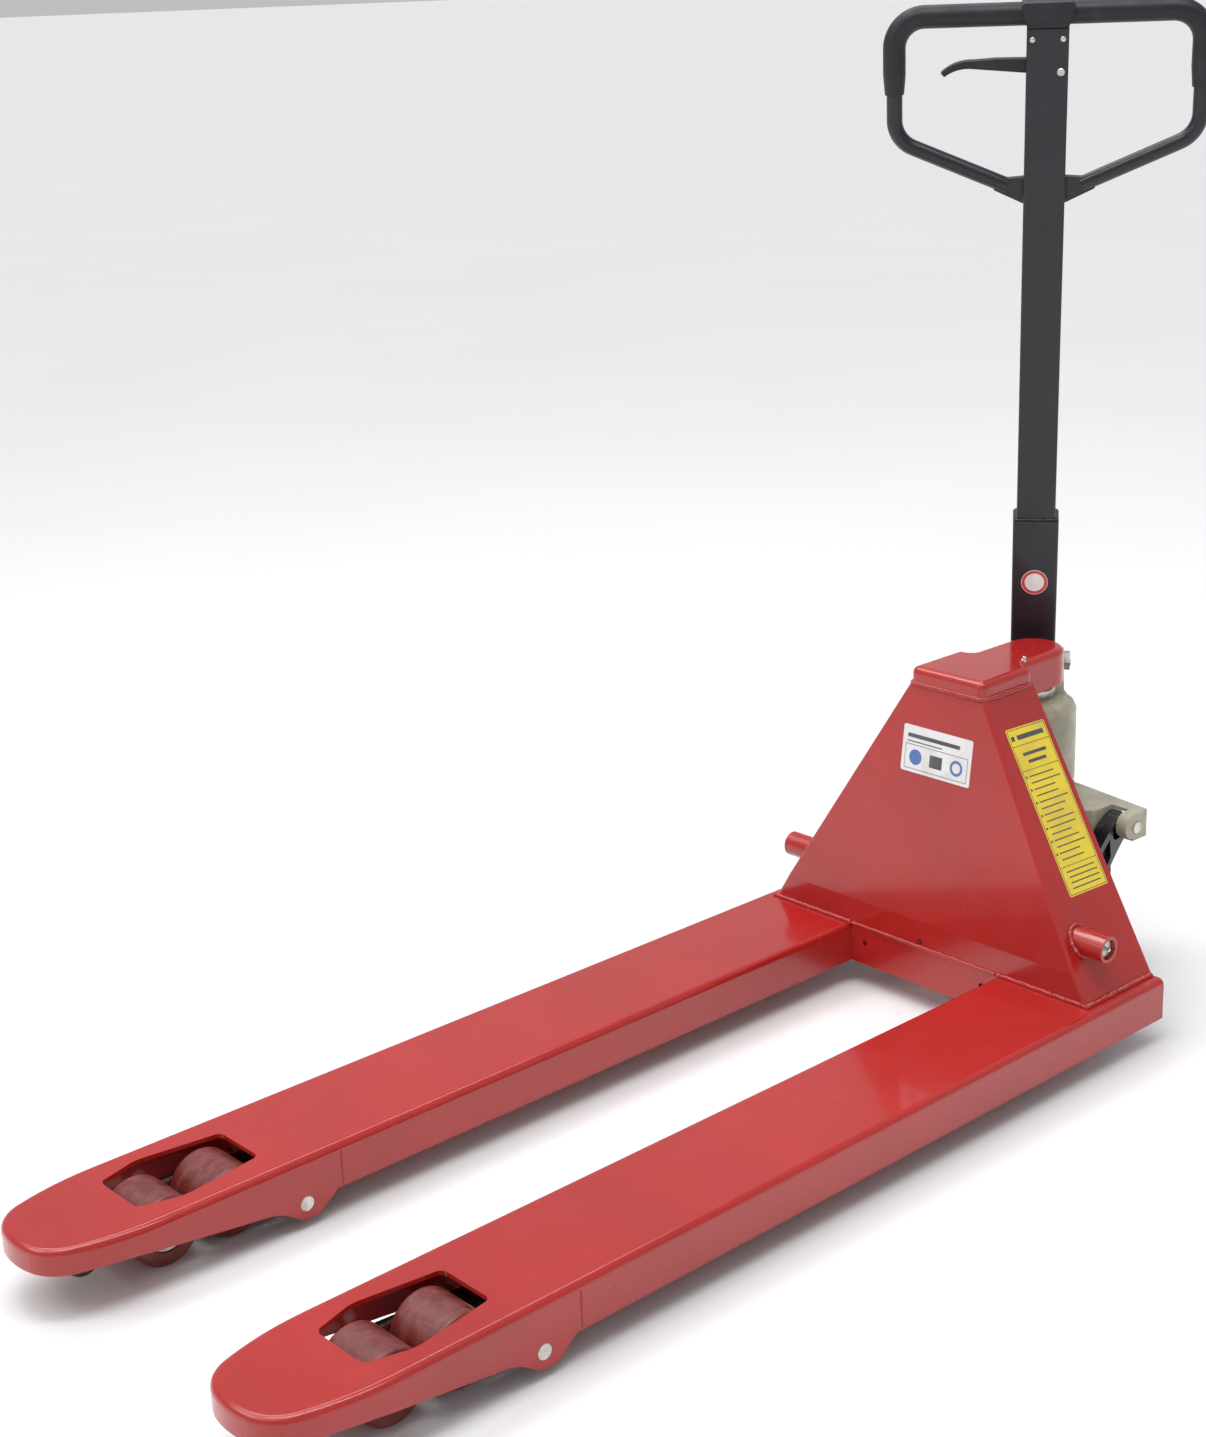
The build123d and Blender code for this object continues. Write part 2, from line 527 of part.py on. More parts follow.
# ==== roller frames, bogies and load rollers =========================================================
for name, side in SIDES:
    centre = side * FORK_Y
    with BuildPart() as roller_frame:
        with BuildSketch(across(centre)):
            with Locations((PIVOT_X, PIVOT_Z)):
                Circle(16)
        extrude(amount=49.5, both=True)
        with BuildSketch(across(side * ROD_Y)):
            with Locations((PIVOT_X, PIVOT_Z)):
                Circle(16)
            with Locations((LUG_X, LUG_Z)):
                Circle(11.5)
            make_hull()
        extrude(amount=7, both=True)
        for arm in (-1, 1):
            with BuildSketch(across(centre + arm * 46.25)):
                with Locations((PIVOT_X, PIVOT_Z)):
                    Circle(16)
                with Locations((BOGIE_X, ROLLER_R)):
                    Circle(14)
                make_hull()
            extrude(amount=3.25, both=True)
        with BuildSketch(across(centre)):
            with Locations((PIVOT_X, PIVOT_Z)):
                Circle(PIVOT_R + RUNNING)
            with Locations((LUG_X, LUG_Z)):
                Circle(ROD_PIN_R)
            with Locations((BOGIE_X, ROLLER_R)):
                Circle(7)
        extrude(amount=60, both=True, mode=Mode.SUBTRACT)
    roller_frame.part.label = f"roller_frame_{name}"
    export_step(roller_frame.part, f"parts/roller_frame_{name}.step")

    with BuildPart() as link_pins:
        with BuildSketch(across(side * ROD_Y)):
            with Locations((LUG_X, LUG_Z)):
                Circle(ROD_PIN_R)
        extrude(amount=15, both=True)
        for arm in (-1, 1):
            with BuildSketch(across(centre + arm * 44)):
                with Locations((BOGIE_X, ROLLER_R)):
                    Circle(7)
            extrude(amount=7, both=True)
    link_pins.part.label = f"roller_frame_link_pins_{name}"
    export_step(link_pins.part, f"parts/roller_frame_link_pins_{name}.step")

    with BuildPart() as bogie_plates:
        for plate in (-1, 1):
            with BuildSketch(across(centre + plate * 39)):
                with Locations((BOGIE_X, ROLLER_R)):
                    SlotCenterToCenter(ROLLER_SPACING, 30)
                    Circle(7 + RUNNING, mode=Mode.SUBTRACT)
                    with Locations((-ROLLER_SPACING / 2, 0), (ROLLER_SPACING / 2, 0)):
                        Circle(ROLLER_AXLE_R, mode=Mode.SUBTRACT)
            extrude(amount=2.5, both=True)
    bogie_plates.part.label = f"bogie_plates_{name}"
    export_step(bogie_plates.part, f"parts/bogie_plates_{name}.step")

    with BuildPart() as load_roller_axles:
        for end in (-1, 1):
            with BuildSketch(across(centre)):
                with Locations((BOGIE_X + end * ROLLER_SPACING / 2, ROLLER_R)):
                    Circle(ROLLER_AXLE_R)
            extrude(amount=42.3, both=True)
    load_roller_axles.part.label = f"load_roller_axles_{name}"
    export_step(load_roller_axles.part, f"parts/load_roller_axles_{name}.step")

    for end_name, end in (("front", 1), ("rear", -1)):
        place = (BOGIE_X + end * ROLLER_SPACING / 2, ROLLER_R)
        with BuildPart() as load_roller:
            with BuildSketch(across(centre)):
                with Locations(place):
                    Circle(ROLLER_R)
            extrude(amount=ROLLER_HALF, both=True)
            fillet(load_roller.edges().filter_by(GeomType.CIRCLE), 5)
            with BuildSketch(across(centre)):
                with Locations(place):
                    Circle(ROLLER_AXLE_R + RUNNING)
            extrude(amount=2 * ROLLER_HALF, both=True, mode=Mode.SUBTRACT)
            for face in (-1, 1):
                with BuildSketch(across(centre + face * ROLLER_HALF)):
                    with Locations(place):
                        Circle(23)
                extrude(amount=face * 3, mode=Mode.SUBTRACT)
        load_roller.part.label = f"load_roller_{name}_{end_name}"
        export_step(load_roller.part, f"parts/load_roller_{name}_{end_name}.step")

# ==== yoke, which holds the pump and never turns =====================================================
with BuildPart() as yoke:
    with BuildSketch(Plane.XY.offset(YOKE_BOTTOM)) as yoke_plan:
        with BuildLine():
            Polyline((PUMP_X - 26, 165), (PUMP_X + 2, 165), (PUMP_X + 2, 150), (PUMP_X - 8, 150),
                     (PUMP_X - 8, 124), (PUMP_X + 26, 124), (PUMP_X + 40, 108), (PUMP_X + 46, 40),
                     (PUMP_X + 46, -40), (PUMP_X + 40, -108), (PUMP_X + 26, -124), (PUMP_X - 8, -124),
                     (PUMP_X - 8, -150), (PUMP_X + 2, -150), (PUMP_X + 2, -165), (PUMP_X - 26, -165),
                     (PUMP_X - 40, -40), (PUMP_X - 40, 40), close=True)
        make_face()
        fillet(yoke_plan.vertices().filter_by(lambda v: v.X > PUMP_X + 20 and abs(v.Y) > 100), 9)
        with Locations((PUMP_X, 0)):
            Circle(58)
    extrude(amount=YOKE_TOP - YOKE_BOTTOM)
    # the top falls a little towards the ends of the arms
    with BuildSketch(Plane.YZ.offset(PUMP_X - 80)):
        Polygon((-166, YOKE_BOTTOM - 1), (166, YOKE_BOTTOM - 1), (166, YOKE_TOP - 3), (58, YOKE_TOP),
                (-58, YOKE_TOP), (-166, YOKE_TOP - 3), align=None)
    extrude(amount=180, mode=Mode.INTERSECT)
    for side in (1, -1):
        # the arms are hollow underneath, between a front and a rear web
        with BuildSketch(Plane((PUMP_X, side * 87, YOKE_BOTTOM - 1))):
            with Locations((2, 0)):
                Rectangle(60, 48)
        extrude(amount=30, mode=Mode.SUBTRACT)
        # the gap that the rocker arm's end works in
        with BuildSketch(Plane((PUMP_X, side * 137, YOKE_BOTTOM - 1))):
            Rectangle(140, 26)
        extrude(amount=33.5, mode=Mode.SUBTRACT)
        # D-shaped ears that hold the yoke pin
        for ear, half in ((157.5, 7.5), (118, 6)):
            with BuildSketch(across(side * ear)):
                with BuildLine():
                    Polyline((PUMP_X + 2, 250), (PUMP_X - 25, 250), (PUMP_X - 25, 217), (PUMP_X + 2, 217))
                    ThreePointArc((PUMP_X + 2, 217), (PUMP_X + 18.5, 233.5), (PUMP_X + 2, 250))
                make_face()
            extrude(amount=half, both=True)
    with BuildSketch(Plane((PUMP_X, 0, YOKE_BOTTOM - 10))):
        Circle(NECK_R + RUNNING)
    extrude(amount=80, mode=Mode.SUBTRACT)
    for ear in (-1, 1):
        with BuildSketch(across(ear * 106)):
            with Locations((YOKE_PIN_X, YOKE_PIN_Z)):
                Circle(YOKE_PIN_R)
        extrude(amount=-ear * 70, mode=Mode.SUBTRACT)
yoke.part.label = "yoke"
export_step(yoke.part, "parts/yoke.step")

with BuildPart() as yoke_pins:
    for side in (1, -1):
        with BuildSketch(across(side * 112)):
            with Locations((YOKE_PIN_X, YOKE_PIN_Z)):
                Circle(YOKE_PIN_R)
        extrude(amount=-side * 54)
        with BuildSketch(across(side * 165)):
            with Locations((YOKE_PIN_X, YOKE_PIN_Z)):
                Circle(8)
        extrude(amount=-side * 2.5)
    chamfer(yoke_pins.edges().filter_by(GeomType.CIRCLE).filter_by(lambda e: abs(e.center().Y) > 167), 0.8)
yoke_pins.part.label = "yoke_pins"
export_step(yoke_pins.part, "parts/yoke_pins.step")

with BuildPart() as yoke_bearing:
    with BuildSketch(Plane((PUMP_X, 0, YOKE_TOP))):
        Circle(48)
        Circle(NECK_R + 0.3, mode=Mode.SUBTRACT)
    extrude(amount=RESERVOIR_BOTTOM - YOKE_TOP - 0.2)
yoke_bearing.part.label = "yoke_bearing"
export_step(yoke_bearing.part, "parts/yoke_bearing.step")

# ==== pump ===========================================================================================
with BuildPart() as pump_body:
    with BuildSketch(placed(STEER, Plane.XZ)):
        with BuildLine():
            Polyline((0, 118), (40, 118), (46, 126), (46, 210), (NECK_R, 210), (NECK_R, RESERVOIR_BOTTOM),
                     (RESERVOIR_R - 4, RESERVOIR_BOTTOM), (RESERVOIR_R, RESERVOIR_BOTTOM + 5),
                     (RESERVOIR_R, RESERVOIR_TOP), (RESERVOIR_R - 4, RESERVOIR_TOP + 9),
                     (RESERVOIR_R - 13, PUMP_TOP - 3), (RESERVOIR_R - 13, PUMP_TOP), (0, PUMP_TOP), (0, 118))
        make_face()
    revolve(axis=STEER_AXIS)
    # axle housing between the wheels
    with BuildSketch(across(0, STEER)):
        with Locations((0, WHEEL_R)):
            Circle(26)
        with Locations((0, 120)):
            Rectangle(52, 60)
    extrude(amount=44, both=True)
    with BuildSketch(across(0, STEER)):
        with Locations((0, WHEEL_R)):
            Circle(20)
    extrude(amount=52, both=True)
    # plunger boss behind the reservoir
    with BuildSketch(placed(STEER, Plane.XY.offset(RESERVOIR_BOTTOM + 3))):
        with Locations((PLUNGER_BACK, 0)):
            Circle(17)
        with Locations((PLUNGER_BACK / 2 - 20, 0)):
            Rectangle(-PLUNGER_BACK - 40, 24)
    extrude(amount=BOSS_TOP - RESERVOIR_BOTTOM - 3)
    # ears that hold the drawbar
    for ear in (1, -1):
        with BuildSketch(across(ear * (EAR_INNER + EAR_OUTER) / 2, STEER)) as cheek:
            with BuildLine():
                Polyline((-16, RESERVOIR_TOP - 12), (-16, PUMP_TOP - 6), (-50, PUMP_TOP + 8),
                         (HINGE_BACK + 6, HINGE_Z + 15.5), (HINGE_BACK, HINGE_Z),
                         (HINGE_BACK - 16, HINGE_Z - 5), (HINGE_BACK + 2, 345), (-40, 300),
                         (-16, RESERVOIR_TOP - 12))
            make_face()
            with Locations((HINGE_BACK, HINGE_Z)):
                Circle(17)
        extrude(amount=(EAR_OUTER - EAR_INNER) / 2, both=True)
    with BuildSketch(across(0, STEER)):
        with Locations((HINGE_BACK, HINGE_Z)):
            Circle(HINGE_R)
        with Locations((0, WHEEL_R)):
            Circle(WHEEL_AXLE_R)
    extrude(amount=80, both=True, mode=Mode.SUBTRACT)
    with BuildSketch(Plane((PUMP_X, 0, RAM_BOTTOM - 6))):
        Circle(RAM_R + RUNNING)
    extrude(amount=200, mode=Mode.SUBTRACT)
    with BuildSketch(placed(STEER, Plane.XY.offset(BOSS_TOP - PLUNGER_DEPTH - 30))):
        with Locations((PLUNGER_BACK, 0)):
            Circle(PLUNGER_R + RUNNING)
    extrude(amount=80, mode=Mode.SUBTRACT)
    with BuildSketch(across(-RESERVOIR_R - 10, STEER)):
        with Locations((0, FILLER_Z)):
            Circle(7)
    extrude(amount=-18, mode=Mode.SUBTRACT)
pump_body.part.label = "pump_body"
export_step(pump_body.part, "parts/pump_body.step")

with BuildPart() as filler_plug:
    with BuildSketch(across(-RESERVOIR_R + 6, STEER)):
        with Locations((0, FILLER_Z)):
            Circle(7)
    extrude(amount=6)
    with BuildSketch(across(-RESERVOIR_R, STEER)):
        with Locations((0, FILLER_Z)):
            RegularPolygon(10, 6)
    extrude(amount=6)
filler_plug.part.label = "filler_plug"
export_step(filler_plug.part, "parts/filler_plug.step")

with BuildPart() as gland_nut:
    with BuildSketch(Plane((PUMP_X, 0, PUMP_TOP))):
        Circle(29)
        Circle(RAM_R + RUNNING, mode=Mode.SUBTRACT)
    extrude(amount=11)
    chamfer(gland_nut.edges().group_by(Axis.Z)[-1], 1.5)
gland_nut.part.label = "gland_nut"
export_step(gland_nut.part, "parts/gland_nut.step")

with BuildPart() as handle_pivot_bolt:
    with BuildSketch(across(0, STEER)):
        with Locations((HINGE_BACK, HINGE_Z)):
            Circle(HINGE_R)
    extrude(amount=EAR_OUTER + 9, both=True)
    for end in (1, -1):
        with BuildSketch(across(end * EAR_OUTER, STEER)):
            with Locations((HINGE_BACK, HINGE_Z)):
                RegularPolygon(13, 6)
        extrude(amount=-end * 8)
handle_pivot_bolt.part.label = "handle_pivot_bolt"
export_step(handle_pivot_bolt.part, "parts/handle_pivot_bolt.step")

# ==== plunger and its spring =========================================================================
CAP_BOTTOM = PLUNGER_TOP - 8
with BuildPart() as plunger:
    with BuildSketch(placed(STEER, Plane.XY.offset(BOSS_TOP - PLUNGER_DEPTH))):
        with Locations((PLUNGER_BACK, 0)):
            Circle(PLUNGER_R)
    extrude(amount=CAP_BOTTOM - BOSS_TOP + PLUNGER_DEPTH)
    with BuildSketch(placed(STEER, Plane.XY.offset(CAP_BOTTOM))):
        with Locations((PLUNGER_BACK, 0)):
            Circle(16)
    extrude(amount=8)
    chamfer(plunger.edges().group_by(Axis.Z)[-1], 1.5)
plunger.part.label = "plunger"
export_step(plunger.part, "parts/plunger.step")

SPRING_TURNS = 5
SPRING_WIRE = 1.8
with BuildPart() as plunger_spring:
    low = BOSS_TOP + SPRING_WIRE + 0.1
    high = CAP_BOTTOM - SPRING_WIRE - 0.1
    with BuildLine(STEER * Pos(PLUNGER_BACK, 0, low) * Plane.XY) as coil:
        Helix((high - low) / SPRING_TURNS, high - low, 13)
    with BuildSketch(Plane(coil.line @ 0, z_dir=coil.line % 0)):
        Circle(SPRING_WIRE)
    sweep()
plunger_spring.part.label = "plunger_spring"
export_step(plunger_spring.part, "parts/plunger_spring.step")

with BuildPart() as release_lever:
    with BuildSketch(across(34, STEER)):
        with Locations((PLUNGER_BACK, RELEASE_Z)):
            Circle(8)
        with BuildLine():
            Polyline((PLUNGER_BACK - 5, RELEASE_Z - 4), (PLUNGER_BACK - 34, RELEASE_Z + 26),
                     (PLUNGER_BACK - 28, RELEASE_Z + 33), (PLUNGER_BACK + 5, RELEASE_Z + 6), close=True)
        make_face()
        with Locations((PLUNGER_BACK - 31, RELEASE_Z + 29.5)):
            Circle(5)
    extrude(amount=3, both=True)
    with BuildSketch(across(17.5, STEER)):
        with Locations((PLUNGER_BACK, RELEASE_Z)):
            Circle(5)
    extrude(amount=-17)
release_lever.part.label = "release_lever"
export_step(release_lever.part, "parts/release_lever.step")

# ==== wheels =========================================================================================
with BuildPart() as wheel_axle:
    with BuildSketch(across(0, STEER)):
        with Locations((0, WHEEL_R)):
            Circle(WHEEL_AXLE_R)
    extrude(amount=WHEEL_Y + WHEEL_WIDTH / 2 + 3, both=True)
    chamfer(wheel_axle.edges().filter_by(GeomType.CIRCLE), 1)
wheel_axle.part.label = "wheel_axle"
export_step(wheel_axle.part, "parts/wheel_axle.step")

for name, side in SIDES:
    wheel_plane = across(side * WHEEL_Y, STEER)
    with BuildPart() as steer_tyre:
        with BuildSketch(wheel_plane):
            with Locations((0, WHEEL_R)):
                Circle(WHEEL_R)
        extrude(amount=WHEEL_WIDTH / 2, both=True)
        fillet(steer_tyre.edges().filter_by(GeomType.CIRCLE), 7)
        with BuildSketch(wheel_plane):
            with Locations((0, WHEEL_R)):
                Circle(68)
        extrude(amount=WHEEL_WIDTH, both=True, mode=Mode.SUBTRACT)
    steer_tyre.part.label = f"steer_tyre_{name}"
    export_step(steer_tyre.part, f"parts/steer_tyre_{name}.step")

    with BuildPart() as steer_hub:
        with BuildSketch(wheel_plane):
            with Locations((0, WHEEL_R)):
                Circle(68)
        extrude(amount=22, both=True)
        for face in (1, -1):
            with BuildSketch(across(side * WHEEL_Y + face * 22, STEER)):
                with Locations((0, WHEEL_R)):
                    Circle(60)
                    Circle(27, mode=Mode.SUBTRACT)
            extrude(amount=face * 14, mode=Mode.SUBTRACT)
        with BuildSketch(wheel_plane):
            with Locations((0, WHEEL_R)):
                Circle(WHEEL_AXLE_R + RUNNING)
        extrude(amount=WHEEL_WIDTH, both=True, mode=Mode.SUBTRACT)
    steer_hub.part.label = f"steer_hub_{name}"
    export_step(steer_hub.part, f"parts/steer_hub_{name}.step")

# ==== drawbar ========================================================================================
with BuildPart() as handle_base:
    with BuildSketch(placed(DRAWBAR, Plane.XY.offset(20))) as section:
        Rectangle(BASE_DEPTH, BASE_WIDTH)
        fillet(section.vertices(), 3)
        Rectangle(BASE_DEPTH - 2 * BASE_SHEET, BASE_WIDTH - 2 * BASE_SHEET, mode=Mode.SUBTRACT)
    extrude(amount=BASE_LENGTH - 20)
    for cheek in (1, -1):
        with BuildSketch(across(cheek * (BASE_WIDTH - BASE_SHEET) / 2, DRAWBAR)):
            Circle(18)
            with Locations((-CAM_BACK, -CAM_DROP)):
                Circle(11)
            make_hull()
            with Locations((0, 15)):
                Rectangle(BASE_DEPTH - 6, 30)
        extrude(amount=BASE_SHEET / 2, both=True)
    with BuildSketch(across(0, DRAWBAR)):
        Circle(HINGE_R + RUNNING)
        with Locations((-CAM_BACK, -CAM_DROP)):
            Circle(4)
    extrude(amount=BASE_WIDTH, both=True, mode=Mode.SUBTRACT)
handle_base.part.label = "handle_base"
export_step(handle_base.part, "parts/handle_base.step")

with BuildPart() as cam_roller:
    with BuildSketch(across(0, DRAWBAR)):
        with Locations((-CAM_BACK, -CAM_DROP)):
            Circle(8)
    extrude(amount=14, both=True)
    with BuildSketch(across(0, DRAWBAR)):
        with Locations((-CAM_BACK, -CAM_DROP)):
            Circle(4)
    extrude(amount=BASE_WIDTH / 2, both=True)
cam_roller.part.label = "cam_roller"
export_step(cam_roller.part, "parts/cam_roller.step")

POLE_FOOT = 89
POLE_TOP = BAR_HEIGHT - GRIP_R - 2
with BuildPart() as handle_pole:
    with BuildSketch(placed(DRAWBAR, Plane.XY.offset(POLE_FOOT))) as section:
        Rectangle(POLE_DEPTH, POLE_WIDTH)
        fillet(section.vertices(), 3)
        Rectangle(POLE_DEPTH - 2 * POLE_SHEET, POLE_WIDTH - 2 * POLE_SHEET, mode=Mode.SUBTRACT)
    extrude(amount=POLE_TOP - POLE_FOOT)
    # slot for the finger lever in the right-hand wall, and its pivot hole
    with BuildSketch(across(-POLE_WIDTH / 2 + 6, DRAWBAR)):
        with Locations((0, LEVER_PIVOT[1] + 7)):
            Rectangle(17, 70)
    extrude(amount=12, mode=Mode.SUBTRACT)
    with BuildSketch(placed(DRAWBAR, Plane.YZ.offset(-POLE_DEPTH))):
        with Locations(LEVER_PIVOT):
            Circle(3 + RUNNING)
    extrude(amount=2 * POLE_DEPTH, mode=Mode.SUBTRACT)
handle_pole.part.label = "handle_pole"
export_step(handle_pole.part, "parts/handle_pole.step")

with BuildPart() as handle_loop:
    with BuildLine(placed(DRAWBAR, Plane.YZ)) as route:
        FilletPolyline((44, TAB_HEIGHT), (LOOP_HALF, LOOP_CORNER), (LOOP_HALF, BAR_HEIGHT),
                       (-LOOP_HALF, BAR_HEIGHT), (-LOOP_HALF, LOOP_CORNER), (-44, TAB_HEIGHT), radius=36)
    with BuildSketch(Plane(route.line @ 0, z_dir=route.line % 0)):
        Circle(LOOP_TUBE_R)
    sweep()
    # flattened ends welded to the sides of the pole
    for end in (1, -1):
        with BuildSketch(placed(DRAWBAR, Plane.YZ.offset(-5))):
            Polygon((end * POLE_WIDTH / 2, TAB_HEIGHT - 21), (end * 60, TAB_HEIGHT - 4),
                    (end * 56, TAB_HEIGHT + 13.5), (end * 44, TAB_HEIGHT + 9.5),
                    (end * POLE_WIDTH / 2, TAB_HEIGHT + 11), align=None)
        extrude(amount=10)
handle_loop.part.label = "handle_loop"
export_step(handle_loop.part, "parts/handle_loop.step")

with BuildPart() as handle_grip:
    with BuildLine(placed(DRAWBAR, Plane.YZ)) as grip_route:
        FilletPolyline((LOOP_HALF, GRIP_TAPER), (LOOP_HALF, BAR_HEIGHT), (-LOOP_HALF, BAR_HEIGHT),
                       (-LOOP_HALF, GRIP_TAPER), radius=36)
    with BuildSketch(Plane(grip_route.line @ 0, z_dir=grip_route.line % 0)):
        Circle(GRIP_R)
        Circle(LOOP_TUBE_R + RUNNING, mode=Mode.SUBTRACT)
    sweep()
    # the sleeves narrow towards their lower ends
    for end in (1, -1):
        with BuildSketch(placed(DRAWBAR * Pos(0, end * LOOP_HALF, GRIP_END), Plane.YZ)):
            Polygon((LOOP_TUBE_R + RUNNING, 0), (LOOP_TUBE_R + 2, 0), (GRIP_R, GRIP_TAPER - GRIP_END),
                    (LOOP_TUBE_R + RUNNING, GRIP_TAPER - GRIP_END), align=None)
        sleeve = placed(DRAWBAR * Pos(0, end * LOOP_HALF, GRIP_END), Plane.XY)
        revolve(axis=Axis(sleeve.origin, sleeve.z_dir))
handle_grip.part.label = "handle_grip"
export_step(handle_grip.part, "parts/handle_grip.step")

with BuildPart() as top_cover:
    with BuildSketch(placed(DRAWBAR, Plane.YZ.offset(-19))) as face_view:
        Polygon((-24, BAR_HEIGHT - 14), (-32, BAR_HEIGHT + 14.5), (32, BAR_HEIGHT + 14.5),
                (24, BAR_HEIGHT - 14), align=None)
    extrude(amount=38)
    fillet(top_cover.edges().filter_by(lambda e: e.length > 36 and e.length < 40), 4)
    with BuildSketch(across(0, DRAWBAR)):
        with Locations((0, BAR_HEIGHT)):
            Circle(GRIP_R + RUNNING)
    extrude(amount=40, both=True, mode=Mode.SUBTRACT)
top_cover.part.label = "top_cover"
export_step(top_cover.part, "parts/top_cover.step")

with BuildPart() as control_lever:
    with BuildSketch(placed(DRAWBAR, Plane.YZ.offset(-6.5))) as finger:
        with Locations(LEVER_PIVOT):
            Circle(5.5)
        with BuildLine():
            hub_x, hub_z = LEVER_PIVOT
            Polyline((hub_x, hub_z + 5.5), (-24, hub_z + 14), (-60, hub_z + 14.5), (-86, hub_z + 13))
            ThreePointArc((-86, hub_z + 13), (-110, hub_z + 9), (-124, hub_z))
            Line((-124, hub_z), (-120, hub_z - 4.5))
            ThreePointArc((-120, hub_z - 4.5), (-106, hub_z + 2.5), (-86, hub_z + 4))
            Polyline((-86, hub_z + 4), (-24, hub_z - 2), (hub_x, hub_z - 5), (hub_x, hub_z + 5.5))
        make_face()
    extrude(amount=13)
    with BuildSketch(placed(DRAWBAR, Plane.YZ.offset(-POLE_DEPTH / 2 + 0.5))):
        with Locations(LEVER_PIVOT):
            Circle(3)
    extrude(amount=POLE_DEPTH - 1)
control_lever.part.label = "control_lever"
export_step(control_lever.part, "parts/control_lever.step")

with BuildPart() as release_rod:
    with BuildSketch(placed(DRAWBAR, Plane.XY.offset(57))):
        Circle(3)
    extrude(amount=700)
release_rod.part.label = "release_rod"
export_step(release_rod.part, "parts/release_rod.step")

with BuildPart() as round_label:
    with BuildSketch(placed(DRAWBAR, Plane.YZ.offset(BASE_DEPTH / 2))):
        with Locations((0, ROUND_LABEL_HEIGHT)):
            Circle(ROUND_LABEL_R)
    extrude(amount=LABEL_FILM)
round_label.part.label = "round_label"
export_step(round_label.part, "parts/round_label.step")
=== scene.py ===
"""Looks for the hand pallet truck: materials for every CAD piece, and the small pieces that CAD leaves out,
such as weld beads, roller bearings, grease nipples, rivets, a screw and the plain printing on the labels."""
import json
from math import atan2, cos, pi, sin

import bmesh
import bpy
from mathutils import Matrix, Vector


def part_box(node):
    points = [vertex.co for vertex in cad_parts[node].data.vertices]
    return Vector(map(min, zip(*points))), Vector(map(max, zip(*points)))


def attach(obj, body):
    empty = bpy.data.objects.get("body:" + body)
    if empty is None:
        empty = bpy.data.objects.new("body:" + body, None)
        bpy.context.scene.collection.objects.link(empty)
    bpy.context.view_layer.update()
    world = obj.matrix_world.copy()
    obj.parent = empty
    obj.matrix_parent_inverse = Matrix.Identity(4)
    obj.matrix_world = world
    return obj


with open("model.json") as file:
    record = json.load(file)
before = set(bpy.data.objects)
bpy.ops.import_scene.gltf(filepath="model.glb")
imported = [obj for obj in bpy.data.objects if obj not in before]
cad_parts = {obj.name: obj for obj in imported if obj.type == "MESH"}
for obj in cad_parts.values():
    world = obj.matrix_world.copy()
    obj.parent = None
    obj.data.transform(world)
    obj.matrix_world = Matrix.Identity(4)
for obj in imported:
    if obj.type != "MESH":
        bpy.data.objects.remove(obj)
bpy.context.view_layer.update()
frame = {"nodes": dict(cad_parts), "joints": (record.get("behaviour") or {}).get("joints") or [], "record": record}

MM = 0.001
JOINTS = {joint["name"]: joint for joint in frame["joints"]}
SIDES = (("left", 1), ("right", -1))
ALONG_X, ALONG_Y, UP = Vector((1, 0, 0)), Vector((0, 1, 0)), Vector((0, 0, 1))


def joint_place(name):
    return Vector(JOINTS[name]["pos_m"])


def joint_axis(name):
    return Vector(JOINTS[name]["axis"]).normalized()


# the drawbar's own directions: sideways, along the pole, and out of its front face
PUMP = joint_place("steer")
HINGE = joint_place("drawbar_tilt")
SIDEWAYS = joint_axis("steer_wheel_left_spin")
POLEWARD = joint_axis("release_rod_pull")
FACING = SIDEWAYS.cross(POLEWARD)


def on_drawbar(forward, sideways, height):
    """A point of the drawbar, in mm from its hinge."""
    return HINGE + MM * (forward * FACING + sideways * SIDEWAYS + height * POLEWARD)


# ==== materials ======================================================================================
# scales of noise: the larger, the finer the pattern
FINE_GRAIN = 900
NICKS = 230


